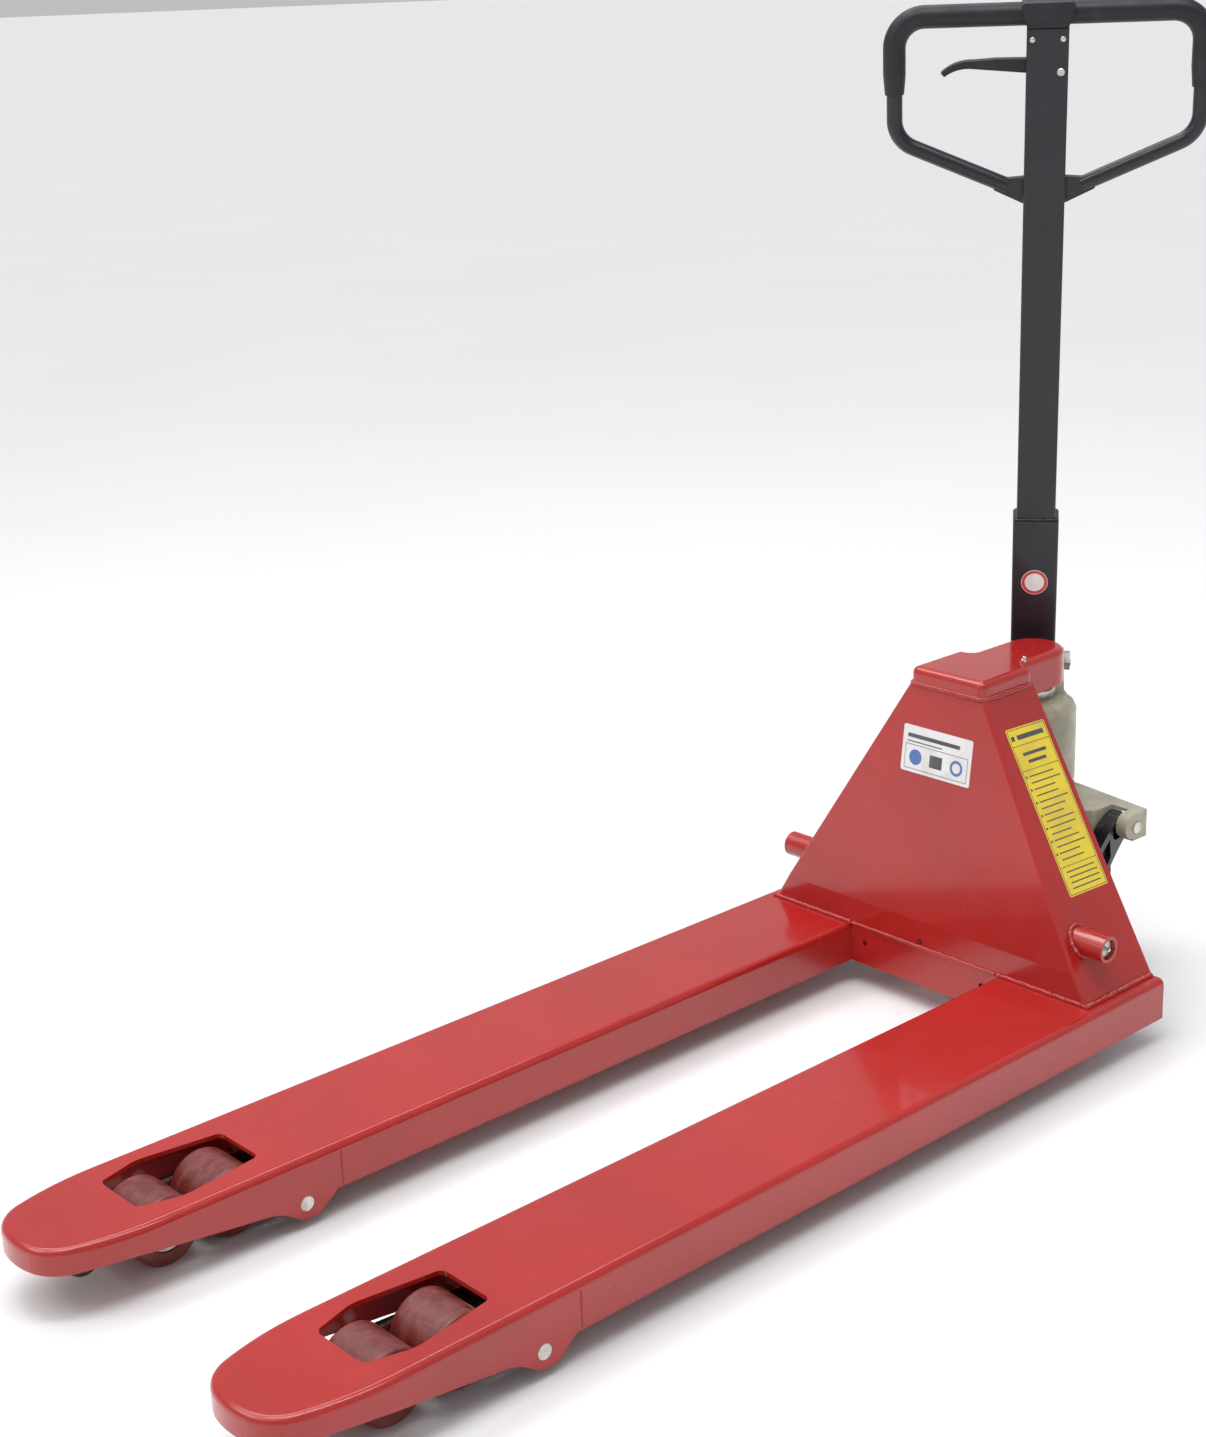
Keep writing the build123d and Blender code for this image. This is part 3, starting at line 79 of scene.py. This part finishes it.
class Surface:
    """A Principled material whose pattern comes from noise in the object's own coordinates."""

    def __init__(self, name, **sockets):
        self.material = bpy.data.materials.new(name)
        self.material.use_nodes = True
        self.tree = self.material.node_tree
        self.shader = self.tree.nodes["Principled BSDF"]
        self.place = self.tree.nodes.new("ShaderNodeTexCoord").outputs["Object"]
        self.normal = None
        for socket, value in sockets.items():
            self.shader.inputs[socket.replace("_", " ")].default_value = value

    def noise(self, scale, detail, stretch=(1, 1, 1), distortion=0.0):
        mapping = self.tree.nodes.new("ShaderNodeMapping")
        mapping.inputs["Scale"].default_value = stretch
        self.tree.links.new(self.place, mapping.inputs["Vector"])
        texture = self.tree.nodes.new("ShaderNodeTexNoise")
        texture.inputs["Scale"].default_value = scale
        texture.inputs["Detail"].default_value = detail
        texture.inputs["Distortion"].default_value = distortion
        self.tree.links.new(mapping.outputs["Vector"], texture.inputs["Vector"])
        return texture.outputs["Fac"]

    def ramp(self, factor, *stops):
        """A colour ramp with (position, colour) stops, the colour being a grey or a red, green, blue."""
        node = self.tree.nodes.new("ShaderNodeValToRGB")
        while len(node.color_ramp.elements) < len(stops):
            node.color_ramp.elements.new(0.5)
        for element, (position, colour) in zip(node.color_ramp.elements, stops):
            element.position = position
            element.color = (*colour, 1) if hasattr(colour, "__len__") else (colour, colour, colour, 1)
        self.tree.links.new(factor, node.inputs["Fac"])
        return node.outputs["Color"]

    def mix(self, factor, first, second):
        """A mix of two colours or sockets, factor being a socket."""
        node = self.tree.nodes.new("ShaderNodeMix")
        node.data_type = "RGBA"
        for socket, value in (("Factor", factor), ("A", first), ("B", second)):
            target = [s for s in node.inputs if s.name == socket and s.type in ("VALUE", "RGBA")]
            target = target[0] if socket == "Factor" else target[-1]
            if isinstance(value, bpy.types.NodeSocket):
                self.tree.links.new(value, target)
            else:
                target.default_value = value
        return [s for s in node.outputs if s.type == "RGBA"][0]

    def colour(self, socket):
        self.tree.links.new(socket, self.shader.inputs["Base Color"])

    def roughness(self, factor, low, high):
        self.tree.links.new(self.ramp(factor, (0.3, low), (0.7, high)), self.shader.inputs["Roughness"])

    def bump(self, height, distance, strength):
        node = self.tree.nodes.new("ShaderNodeBump")
        node.inputs["Distance"].default_value = distance
        node.inputs["Strength"].default_value = strength
        self.tree.links.new(height, node.inputs["Height"])
        if self.normal:
            self.tree.links.new(self.normal, node.inputs["Normal"])
        self.normal = node.outputs["Normal"]
        self.tree.links.new(self.normal, self.shader.inputs["Normal"])


def shade(colour, amount):
    return tuple(min(1.0, channel * amount) for channel in colour)


def enamel(name, colour, low, high, coat, peel):
    """Sprayed paint: a slight orange peel, uneven thickness, and dust and scuffs here and there."""
    s = Surface(name, Coat_Weight=coat, Coat_Roughness=0.07, IOR=1.5)
    cloudy = s.ramp(s.noise(5, 3), (0.3, shade(colour, 0.9)), (0.7, shade(colour, 1.08)))
    scuffs = s.ramp(s.noise(38, 8, distortion=0.6), (0.64, 0.0), (0.80, 0.14))
    dusty = tuple(0.75 * channel + 0.09 for channel in colour)
    s.colour(s.mix(scuffs, cloudy, (*dusty, 1)))
    s.roughness(s.noise(22, 6), low, high)
    s.bump(s.noise(16, 2), 0.0012, 0.10)
    s.bump(s.noise(420, 2), peel, 0.35)
    return s.material


def casting(name, colour, shadow, low, high, grain):
    """Sand-cast metal under thin paint: grainy, blotched, with darker stains."""
    s = Surface(name, IOR=1.5)
    blotched = s.ramp(s.noise(26, 6), (0.3, shadow), (0.62, colour))
    stains = s.ramp(s.noise(90, 5, distortion=1.0), (0.6, 0.0), (0.75, 0.55))
    s.colour(s.mix(stains, blotched, (*shade(shadow, 0.7), 1)))
    s.roughness(s.noise(45, 5), low, high)
    s.bump(s.noise(60, 3), 0.0012, 0.25)
    s.bump(s.noise(650, 3), grain, 0.8)
    return s.material


def metal(name, colour, tarnish, low, high, stretch=(1, 1, 1)):
    """Bare or plated steel: fine turning marks and a little tarnish."""
    s = Surface(name, Metallic=1.0)
    s.colour(s.ramp(s.noise(70, 6, distortion=0.8), (0.42, colour), (0.72, tarnish)))
    s.roughness(s.noise(180, 5, stretch), low, high)
    s.bump(s.noise(FINE_GRAIN, 2, stretch), 0.00006, 0.4)
    return s.material


def moulded(name, colour, worn, low, high, grain):
    """Moulded plastic or rubber: a fine leathery grain, paler where it is rubbed."""
    s = Surface(name, IOR=1.46)
    s.colour(s.ramp(s.noise(34, 8, distortion=0.5), (0.5, colour), (0.78, worn)))
    s.roughness(s.noise(60, 6), low, high)
    s.bump(s.noise(FINE_GRAIN, 2), grain, 0.6)
    return s.material


def tread(name, colour, worn, low, high):
    """Running surface of a roller: scuffed in streaks, with small nicks that hold dust."""
    s = Surface(name, IOR=1.48, Coat_Weight=0.25, Coat_Roughness=0.3)
    streaks = s.noise(60, 8, (0.8, 1.5, 0.8), 0.8)
    scuffed = s.ramp(streaks, (0.42, colour), (0.75, worn))
    nicks = s.ramp(s.noise(NICKS, 4), (0.64, 0.0), (0.7, 0.7))
    s.colour(s.mix(nicks, scuffed, (*shade(worn, 1.5), 1)))
    s.roughness(streaks, low, high)
    s.bump(s.noise(NICKS, 4), 0.0004, 0.3)
    return s.material


def vinyl(name, colour, grime):
    """Printed film: nearly flat, a little grubby, with faint ripples from its glue."""
    s = Surface(name, IOR=1.5, Coat_Weight=0.3, Coat_Roughness=0.15)
    s.colour(s.ramp(s.noise(24, 7, distortion=0.7), (0.45, colour), (0.8, grime)))
    s.roughness(s.noise(80, 4), 0.28, 0.42)
    s.bump(s.noise(60, 2), 0.0004, 0.12)
    return s.material


MATERIALS = {
    "red_enamel": enamel("red_enamel", (0.40, 0.012, 0.009), 0.16, 0.28, 0.45, 0.00005),
    "black_enamel": enamel("black_enamel", (0.0075, 0.0085, 0.0125), 0.30, 0.42, 0.10, 0.00005),
    "beige_enamel": casting("beige_enamel", (0.44, 0.41, 0.31), (0.30, 0.275, 0.195), 0.26, 0.48, 0.00018),
    "black_cast_iron": enamel("black_cast_iron", (0.008, 0.009, 0.013), 0.16, 0.30, 0.45, 0.00012),
    "wheel_hub_cast_iron": casting("wheel_hub_cast_iron", (0.22, 0.22, 0.22), (0.12, 0.12, 0.12),
                                   0.4, 0.55, 0.0002),
    "zinc_plated_steel": metal("zinc_plated_steel", (0.66, 0.65, 0.62), (0.42, 0.40, 0.35), 0.24, 0.42),
    "hard_chrome": metal("hard_chrome", (0.80, 0.80, 0.80), (0.66, 0.66, 0.65), 0.06, 0.14, (1, 1, 0.15)),
    "spring_steel": metal("spring_steel", (0.30, 0.30, 0.31), (0.16, 0.14, 0.12), 0.30, 0.45),
    "bearing_bronze": metal("bearing_bronze", (0.55, 0.36, 0.14), (0.30, 0.20, 0.09), 0.28, 0.45),
    "load_roller_polyurethane": tread("load_roller_polyurethane", (0.13, 0.014, 0.011), (0.22, 0.045, 0.037),
                                      0.30, 0.52),
    "entry_roller_polymer": tread("entry_roller_polymer", (0.014, 0.014, 0.014), (0.06, 0.055, 0.05),
                                  0.45, 0.65),
    "steer_tyre_rubber": moulded("steer_tyre_rubber", (0.018, 0.018, 0.018), (0.07, 0.065, 0.06),
                                 0.6, 0.8, 0.00012),
    "grip_plastic": moulded("grip_plastic", (0.008, 0.009, 0.012), (0.02, 0.021, 0.026), 0.40, 0.54, 0.00008),
    "label_white": vinyl("label_white", (0.78, 0.79, 0.80), (0.62, 0.61, 0.58)),
    "label_yellow": vinyl("label_yellow", (0.82, 0.62, 0.035), (0.62, 0.47, 0.06)),
    "label_red_white": vinyl("label_red_white", (0.78, 0.78, 0.78), (0.62, 0.61, 0.58)),
}
INKS = {
    "ink_dark": vinyl("ink_dark", (0.06, 0.06, 0.07), (0.12, 0.12, 0.12)),
    "ink_blue": vinyl("ink_blue", (0.06, 0.16, 0.42), (0.10, 0.20, 0.42)),
    "ink_red": vinyl("ink_red", (0.62, 0.03, 0.03), (0.45, 0.05, 0.05)),
}

for part in frame["record"]["subparts"]:
    node = frame["nodes"][part["node"]]
    node.data.materials.clear()
    node.data.materials.append(MATERIALS[part["material_slot"]])


# ==== tools for the small pieces =====================================================================
def new_piece(name, mesh, body, slot, material=None, smooth=True):
    """Turns a bmesh into a piece that rides on a body and takes its finish from a slot."""
    bmesh.ops.recalc_face_normals(mesh, faces=mesh.faces)
    data = bpy.data.meshes.new(name)
    mesh.to_mesh(data)
    mesh.free()
    piece = bpy.data.objects.new(name, data)
    bpy.context.scene.collection.objects.link(piece)
    data.materials.append(material or MATERIALS[slot])
    for polygon in data.polygons:
        polygon.use_smooth = smooth
    if smooth:
        data.set_sharp_from_angle(angle=0.7)
    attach(piece, body)
    return piece


def upright(axis):
    """Two directions square to an axis and to each other."""
    helper = UP if abs(axis.z) < 0.9 else ALONG_X
    first = axis.cross(helper).normalized()
    return first, axis.cross(first).normalized()


def lathe(mesh, centre, axis, profile, segments=40, closed=False):
    """Adds a turned shape. The profile's points are (radius, distance along the axis) in mm."""
    first, second = upright(axis)
    rings = []
    for radius, distance in profile:
        middle = centre + axis * distance * MM
        if radius == 0:
            rings.append([mesh.verts.new(middle)])
            continue
        angles = [2 * pi * k / segments for k in range(segments)]
        rings.append([mesh.verts.new(middle + radius * MM * (cos(a) * first + sin(a) * second))
                      for a in angles])
    pairs = list(zip(rings, rings[1:]))
    if closed:
        pairs.append((rings[-1], rings[0]))
    for one, other in pairs:
        for k in range(segments):
            here, there = k, (k + 1) % segments
            corners = [one[here % len(one)], one[there % len(one)],
                       other[there % len(other)], other[here % len(other)]]
            corners = list(dict.fromkeys(corners))
            if len(corners) > 2:
                mesh.faces.new(corners)


def walk(points, step, closed=False):
    """Points a step apart along a run of straight lines."""
    route = list(points) + ([points[0]] if closed else [])
    found = []
    for start, end in zip(route, route[1:]):
        count = max(1, round((end - start).length / step))
        found += [start.lerp(end, k / count) for k in range(count)]
    return found if closed else found + [route[-1]]


BEAD_SIDES = 9             # corners of a weld bead's section
RIPPLE_PITCH = 3.4         # from one ripple of a weld to the next, mm


def bead(mesh, points, radius, closed=False, ripple=0.16):
    """Adds a weld bead along a route: a tube with the overlapping ripples of a hand weld, sizes in mm."""
    centres = walk(points, RIPPLE_PITCH * MM / 4, closed)
    count = len(centres)
    angles = [2 * pi * j / BEAD_SIDES for j in range(BEAD_SIDES)]
    rings = []
    for k, centre in enumerate(centres):
        before = centres[(k - 1) % count] if closed or k else centre
        after = centres[(k + 1) % count] if closed or k < count - 1 else centre
        first, second = upright((after - before).normalized())
        ripples = ripple * sin(pi * k / 2)
        unevenness = 0.12 * sin(k * 0.37) * sin(k * 0.113)
        swell = 1 + ripples + unevenness
        taper = 1.0 if closed else min(1.0, 0.35 + 0.3 * min(k, count - 1 - k))
        size = radius * MM * swell * taper
        wander = 0.10 * radius * MM * sin(k * 0.21)
        rings.append([mesh.verts.new(centre + wander * first + size * (cos(a) * first + sin(a) * second))
                      for a in angles])
    pairs = list(zip(rings, rings[1:])) + ([(rings[-1], rings[0])] if closed else [])
    for one, other in pairs:
        for j in range(BEAD_SIDES):
            beside = (j + 1) % BEAD_SIDES
            mesh.faces.new((one[j], one[beside], other[beside], other[j]))
    if not closed:
        mesh.faces.new(rings[0])
        mesh.faces.new(rings[-1])


# ==== welds ==========================================================================================
SIDE_LOW, SIDE_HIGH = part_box("side_plate_left")
FOOT_Y, FOOT_Z, HEAD_Z = SIDE_HIGH.y, SIDE_LOW.z, SIDE_HIGH.z
HEAD_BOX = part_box("head_cap")
HEAD_Y = HEAD_BOX[1].y
FRONT_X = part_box("front_plate")[1].x
FORK_LOW, FORK_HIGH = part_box("fork_left")

# radii of the beads, mm
FOOT_BEAD = 3.6
CROSS_BEAD = 2.6
CAP_BEAD = 3.4
TUBE_BEAD = 3.4
NOSE_BEAD = 1.3
LOOP_BEAD = 2.0
SLEEVE_BEAD = 2.2
SMOOTH_RIPPLE = 0.10       # ripples that the paint has nearly filled
TUBE_RIPPLE = 0.12
TUBE_RING_POINTS = 40

# the drawbar's sizes, mm; heights are from its hinge
POLE_HALF_WIDTH = 24.5
POLE_FRONT = 17.5
BASE_TOP = 207
LOOP_FOOT = (617, 646)     # where the loop's lower ends meet the pole
PROUD = 0.5                # from the pole's faces to the middle of a bead


def side_y_at(z):
    """Outer face of the leaning side plates."""
    return FOOT_Y + (HEAD_Y - FOOT_Y) * (z - FOOT_Z) / (HEAD_Z - FOOT_Z)


def foot_welds():
    """Beads round the foot of the frame, on top of the forks and the cross beam."""
    mesh = bmesh.new()
    foot = FOOT_Z + 1 * MM
    for _, side in SIDES:
        bead(mesh, [Vector((FRONT_X, side * FORK_LOW.y, foot)), Vector((FRONT_X, side * FOOT_Y, foot)),
                    Vector((FORK_LOW.x, side * FOOT_Y, foot))], FOOT_BEAD, ripple=SMOOTH_RIPPLE)
    bead(mesh, [Vector((FRONT_X, -FORK_LOW.y, foot)), Vector((FRONT_X, FORK_LOW.y, foot))], CROSS_BEAD,
         ripple=SMOOTH_RIPPLE)
    new_piece("frame_foot_welds", mesh, "chassis", "red_enamel")


def head_cap_weld():
    """The bead under the head cap, round its front and along both sides."""
    mesh = bmesh.new()
    corner = 8 * MM
    front, rear, half = HEAD_BOX[1].x - 0.8 * MM, SIDE_LOW.x + 4 * MM, HEAD_Y + 0.2 * MM
    route = [(front, half - corner), (front - corner / 3, half - corner / 3),
             (front - corner, half), (rear, half)]
    line = [Vector((x, y, HEAD_Z)) for x, y in reversed(route)]
    line += [Vector((x, -y, HEAD_Z)) for x, y in route]
    bead(mesh, line, CAP_BEAD, ripple=SMOOTH_RIPPLE)
    new_piece("head_cap_weld", mesh, "chassis", "red_enamel")


def shaft_tube_welds():
    """Rings where the shaft tubes come out of the leaning side plates."""
    shaft = joint_place("rocker_turn")
    tube_low, tube_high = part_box("shaft_tubes")
    tube_radius = (tube_high.z - tube_low.z) / 2
    out = 0.6 * MM
    for name, side in SIDES:
        mesh = bmesh.new()
        ring = []
        for k in range(TUBE_RING_POINTS):
            angle = 2 * pi * k / TUBE_RING_POINTS
            z = shaft.z + (tube_radius + out) * sin(angle)
            x = shaft.x + (tube_radius + out) * cos(angle)
            ring.append(Vector((x, side * (side_y_at(z) + out), z)))
        bead(mesh, ring, TUBE_BEAD, closed=True, ripple=TUBE_RIPPLE)
        new_piece(f"shaft_tube_weld_{name}", mesh, "chassis", "red_enamel")


def nose_seams():
    """Upright seams where the cast noses join the fork channels."""
    nose_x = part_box("fork_nose_left")[0].x
    low, high = FORK_LOW.z + 2 * MM, FORK_HIGH.z - 9 * MM
    for name, side in SIDES:
        mesh = bmesh.new()
        for y in (FORK_LOW.y, FORK_HIGH.y):
            bead(mesh, [Vector((nose_x, side * y, low)), Vector((nose_x, side * y, high))], NOSE_BEAD,
                 ripple=SMOOTH_RIPPLE)
        new_piece(f"nose_seam_{name}", mesh, "chassis", "red_enamel")


def drawbar_welds():
    """Beads between loop and pole, and round the upper end of the drawbar's base sleeve."""
    mesh = bmesh.new()
    beside = POLE_HALF_WIDTH + PROUD
    for side in (-1, 1):
        for face in (-5, 5):
            ends = [on_drawbar(face, side * beside, height) for height in LOOP_FOOT]
            bead(mesh, ends, LOOP_BEAD)
    new_piece("handle_loop_welds", mesh, "drawbar", "black_enamel")
    mesh = bmesh.new()
    before = POLE_FRONT + PROUD
    ring = [on_drawbar(forward * before, sideways * beside, BASE_TOP + PROUD)
            for forward, sideways in ((1, 1), (1, -1), (-1, -1), (-1, 1))]
    bead(mesh, ring, SLEEVE_BEAD, closed=True, ripple=SMOOTH_RIPPLE)
    new_piece("base_sleeve_weld", mesh, "drawbar", "black_enamel")


# ==== bearings, nipples, rivets and screws ===========================================================
# half the width over both bearings, and the radius of the hole they sit in, mm
LOAD_ROLLER_BEARING = (32, 22)
WHEEL_BEARING = (22, 20)
BEARING_BORE = 10.3
INNER_RACE = 12.6          # outer radius of the inner race
OUTER_RACE = 4             # radial thickness of the outer race
RACE_EDGE = 0.3            # bevel of both races
COVER_RIVET = (17.6, 811)  # rivets of the top cover: sideways, along the drawbar
HEAD_NIPPLE = (62, 33)     # grease nipple on the arm: forwards of the pump, sideways


def bearing_faces(joint, axis, face, outer):
    """Races and seals of the two bearings in a roller or wheel, face being half the width between them."""
    sunk, seal, inner_face, outer_face = face - 0.4, face + 1.0, face + 1.6, face + 1.8
    profile = [(BEARING_BORE, sunk), (BEARING_BORE, inner_face), (INNER_RACE, inner_face),
               (INNER_RACE + RACE_EDGE, seal), (outer - OUTER_RACE - RACE_EDGE, seal),
               (outer - OUTER_RACE, outer_face), (outer - RACE_EDGE, outer_face), (outer, sunk)]
    mesh = bmesh.new()
    for end in (-1, 1):
        lathe(mesh, joint_place(joint), axis, [(radius, end * distance) for radius, distance in profile],
              closed=True)
    body = joint.removesuffix("_spin")
    new_piece(f"{body}_bearings", mesh, body, "zinc_plated_steel")


def grease_nipple(name, place, axis, body):
    mesh = bmesh.new()
    lathe(mesh, place, axis.normalized(), [(0, -1), (3.2, -1), (3.2, 1.5), (1.8, 2.2), (1.8, 3.6), (2.5, 4.4),
                                           (2.5, 5.4), (1.2, 6.4), (0, 6.4)], 24)
    new_piece(name, mesh, body, "zinc_plated_steel")


def grease_nipples():
    forward, sideways = HEAD_NIPPLE
    grease_nipple("arm_grease_nipple",
                  Vector((PUMP.x + forward * MM, sideways * MM, HEAD_BOX[1].z - 0.6 * MM)),
                  Vector((0, 0.25, 1)), "chassis")
    shaft = joint_place("rocker_turn")
    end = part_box("rocker_shaft")[1].y
    for name, side in SIDES:
        grease_nipple(f"shaft_grease_nipple_{name}", Vector((shaft.x, side * end, shaft.z)), side * ALONG_Y,
                      "rocker")


def cover_rivets():
    sideways, height = COVER_RIVET
    mesh = bmesh.new()
    for side in (-1, 1):
        lathe(mesh, on_drawbar(POLE_FRONT, side * sideways, height), FACING,
              [(0, -0.5), (3.2, -0.5), (3.2, 0.4), (2.4, 1.3), (0, 1.7)], 24)
    new_piece("cover_rivets", mesh, "drawbar", "zinc_plated_steel")


def lever_screw():
    """The finger lever's pivot screw, with a round recess in its head."""
    mesh = bmesh.new()
    lathe(mesh, joint_place("control_lever_pull") + POLE_FRONT * MM * FACING, FACING,
          [(0, -0.5), (4.6, -0.5), (4.6, 1.2), (3.8, 1.9), (1.4, 1.9), (1.4, 1.0), (0, 1.0)], 24)
    new_piece("lever_screw", mesh, "drawbar", "zinc_plated_steel")


# ==== plain printing on the labels ===================================================================
INK = 0.12                 # thickness of the printing, mm


def label_face(name, outward):
    """Middle of a label's outer face, and its directions across, up and outwards."""
    node = frame["nodes"][name]
    points = [node.matrix_world @ vertex.co for vertex in node.data.vertices]
    middle = sum(points, Vector()) / len(points)
    largest = max(node.data.polygons, key=lambda polygon: polygon.area)
    normal = (node.matrix_world.to_3x3() @ largest.normal).normalized()
    if normal.dot(outward) < 0:
        normal.negate()
    up = (UP - normal * UP.dot(normal)).normalized()
    across = up.cross(normal)
    flat = [((point - middle).dot(across), (point - middle).dot(up)) for point in points]
    # the label's own long direction, from the spread of its corners
    turn = 0.5 * atan2(2 * sum(x * y for x, y in flat), sum(x * x - y * y for x, y in flat))
    if abs(turn) > pi / 4:
        turn -= pi / 2 if turn > 0 else -pi / 2
    across, up = cos(turn) * across + sin(turn) * up, cos(turn) * up - sin(turn) * across
    outer = middle + normal * max((point - middle).dot(normal) for point in points)
    return outer, across, up, normal


def bar(mesh, face, x, y, width, height):
    """A printed bar round a point of a label's face, sizes in mm."""
    middle, across, up, normal = face
    low = [mesh.verts.new(middle + MM * ((x + i * width / 2) * across + (y + j * height / 2) * up))
           for i, j in ((-1, -1), (1, -1), (1, 1), (-1, 1))]
    high = [mesh.verts.new(corner.co + INK * MM * normal) for corner in low]
    mesh.faces.new(low)
    mesh.faces.new(high)
    for k in range(4):
        mesh.faces.new((low[k], low[(k + 1) % 4], high[(k + 1) % 4], high[k]))


def border(mesh, face, y, width, height, line):
    """A printed frame, centred across the label."""
    for end in (-1, 1):
        bar(mesh, face, 0, y + end * height / 2, width + line, line)
        bar(mesh, face, end * width / 2, y, line, height - line)


def spot(mesh, face, x, y, inner, outer):
    """A printed ring or disc."""
    middle, across, up, normal = face
    centre = middle + MM * (x * across + y * up)
    ring = [(inner, 0), (inner, INK), (outer, INK), (outer, 0)]
    disc = [(0, 0), (outer, 0), (outer, INK), (0, INK)]
    profile = ring if inner else disc
    lathe(mesh, centre, normal, profile, 48, closed=bool(inner))


def print_capacity_label():
    """A heading, a line under it, and a frame with a disc, a block and a ring."""
    face = label_face("capacity_label", ALONG_X)
    mesh = bmesh.new()
    bar(mesh, face, -6, 17, 84, 5)
    bar(mesh, face, -20, 9.5, 56, 1.4)
    border(mesh, face, -10, 100, 31, 0.7)
    bar(mesh, face, 0, -10, 20, 16)
    new_piece("capacity_label_print", mesh, "chassis", "label_white", INKS["ink_dark"], smooth=False)
    mesh = bmesh.new()
    spot(mesh, face, -33, -10, 0, 10)
    spot(mesh, face, 33, -10, 6.5, 10)
    new_piece("capacity_label_marks", mesh, "chassis", "label_white", INKS["ink_blue"], smooth=False)


def print_side_label():
    """A framed column: two headings, a paragraph with bullets, and a footer, all of plain bars."""
    face = label_face("side_label", ALONG_Y)
    mesh = bmesh.new()
    border(mesh, face, 0, 70, 214, 0.8)
    for y in (86, 54, -72):
        bar(mesh, face, 0, y, 69, 0.7)
    bar(mesh, face, 4, 96, 50, 6)
    bar(mesh, face, -29, 96, 6, 6)
    bar(mesh, face, 0, 74, 44, 4)
    bar(mesh, face, 0, 64, 34, 4)
    for row in range(14):
        y = 46 - 8.4 * row
        length = 46 + 9 * sin(1.9 * row)
        bar(mesh, face, length / 2 - 26, y, length, 1.5)
        if row % 2 == 0:
            bar(mesh, face, -31, y, 3, 3)
    for row in range(4):
        bar(mesh, face, 2 * sin(row), -79 - 7 * row, 54, 1.5)
    new_piece("side_label_print", mesh, "chassis", "label_yellow", INKS["ink_dark"], smooth=False)


def print_round_label():
    face = label_face("round_label", FACING)
    mesh = bmesh.new()
    spot(mesh, face, 0, 0, 12.5, 16.4)
    new_piece("round_label_ring", mesh, "drawbar", "label_red_white", INKS["ink_red"], smooth=False)


foot_welds()
head_cap_weld()
shaft_tube_welds()
nose_seams()
drawbar_welds()
for joint_name in JOINTS:
    if joint_name.startswith("load_roller"):
        bearing_faces(joint_name, ALONG_Y, *LOAD_ROLLER_BEARING)
    if joint_name.startswith("steer_wheel"):
        bearing_faces(joint_name, SIDEWAYS, *WHEEL_BEARING)
grease_nipples()
cover_rivets()
lever_screw()
print_capacity_label()
print_side_label()
print_round_label()


# ==== camera, floor and light ========================================================================
STANDPOINT = (2.2786, 1.7442, 1.2838)      # from the pump's axis at the floor, m
HEADING, PITCH, ROLL = 0.849, 0.316, -0.038    # radians
LENS, SENSOR = 57.08, 36                       # mm
FLOOR_INNER, FLOOR_EDGE = 3000, 150000         # radii, mm
SUN_ANGLE = 1.2                                # wide, so that its shadows are soft


def add_camera():
    """The photograph's standpoint: in front of the fork tips, to their left, looking a little down."""
    look = Vector((-cos(HEADING) * cos(PITCH), -sin(HEADING) * cos(PITCH), -sin(PITCH)))
    right = look.cross(UP).normalized()
    top = right.cross(look)
    right, top = cos(ROLL) * right + sin(ROLL) * top, cos(ROLL) * top - sin(ROLL) * right
    camera = bpy.data.objects.new("camera", bpy.data.cameras.new("camera"))
    camera.data.lens = LENS
    camera.data.sensor_width = SENSOR
    camera.data.clip_end = 400
    camera.matrix_world = (Matrix.Translation(Vector((PUMP.x + STANDPOINT[0], *STANDPOINT[1:])))
                           @ Matrix((right, top, -look)).transposed().to_4x4())
    bpy.context.scene.collection.objects.link(camera)
    bpy.context.scene.camera = camera


def add_floor():
    mesh = bmesh.new()
    lathe(mesh, Vector((0, 0, -0.0002)), UP, [(0, 0), (FLOOR_INNER, 0), (FLOOR_EDGE, 0)], 96)
    data = bpy.data.meshes.new("floor")
    mesh.to_mesh(data)
    mesh.free()
    floor = bpy.data.objects.new("floor", data)
    bpy.context.scene.collection.objects.link(floor)
    s = Surface("studio_floor", Roughness=0.75)
    s.colour(s.ramp(s.noise(1.2, 3), (0.3, 0.86), (0.7, 0.88)))
    data.materials.append(s.material)


def add_area_light(name, place, target, size, power):
    light = bpy.data.lights.new(name, "AREA")
    light.shape = "RECTANGLE"
    light.size, light.size_y = size
    light.energy = power
    lamp = bpy.data.objects.new(name, light)
    lamp.location = place
    lamp.rotation_euler = (Vector(target) - Vector(place)).to_track_quat("-Z", "Y").to_euler()
    bpy.context.scene.collection.objects.link(lamp)


def add_light():
    world = bpy.data.worlds.new("studio")
    bpy.context.scene.world = world
    world.use_nodes = True
    world.node_tree.nodes["Background"].inputs["Color"].default_value = (0.93, 0.94, 0.96, 1)
    world.node_tree.nodes["Background"].inputs["Strength"].default_value = 0.55
    add_area_light("overhead_near", (0.4, 0.5, 3.2), (0, 0, 0), (3.2, 0.5), 34)
    add_area_light("overhead_far", (-0.6, -1.6, 3.2), (0, 0, 0), (3.2, 0.5), 26)
    add_area_light("front", (2.6, -1.2, 2.2), (0, 0, 0.4), (1.5, 1.5), 14)
    # an even wash over the whole floor
    wash = bpy.data.lights.new("wash", "SUN")
    wash.energy = 1.4
    wash.angle = SUN_ANGLE
    lamp = bpy.data.objects.new("wash", wash)
    lamp.rotation_euler = Vector((-0.25, 0.2, -1)).to_track_quat("-Z", "Y").to_euler()
    bpy.context.scene.collection.objects.link(lamp)


add_camera()
add_floor()
add_light()
bpy.context.scene.view_settings.view_transform = "Standard"
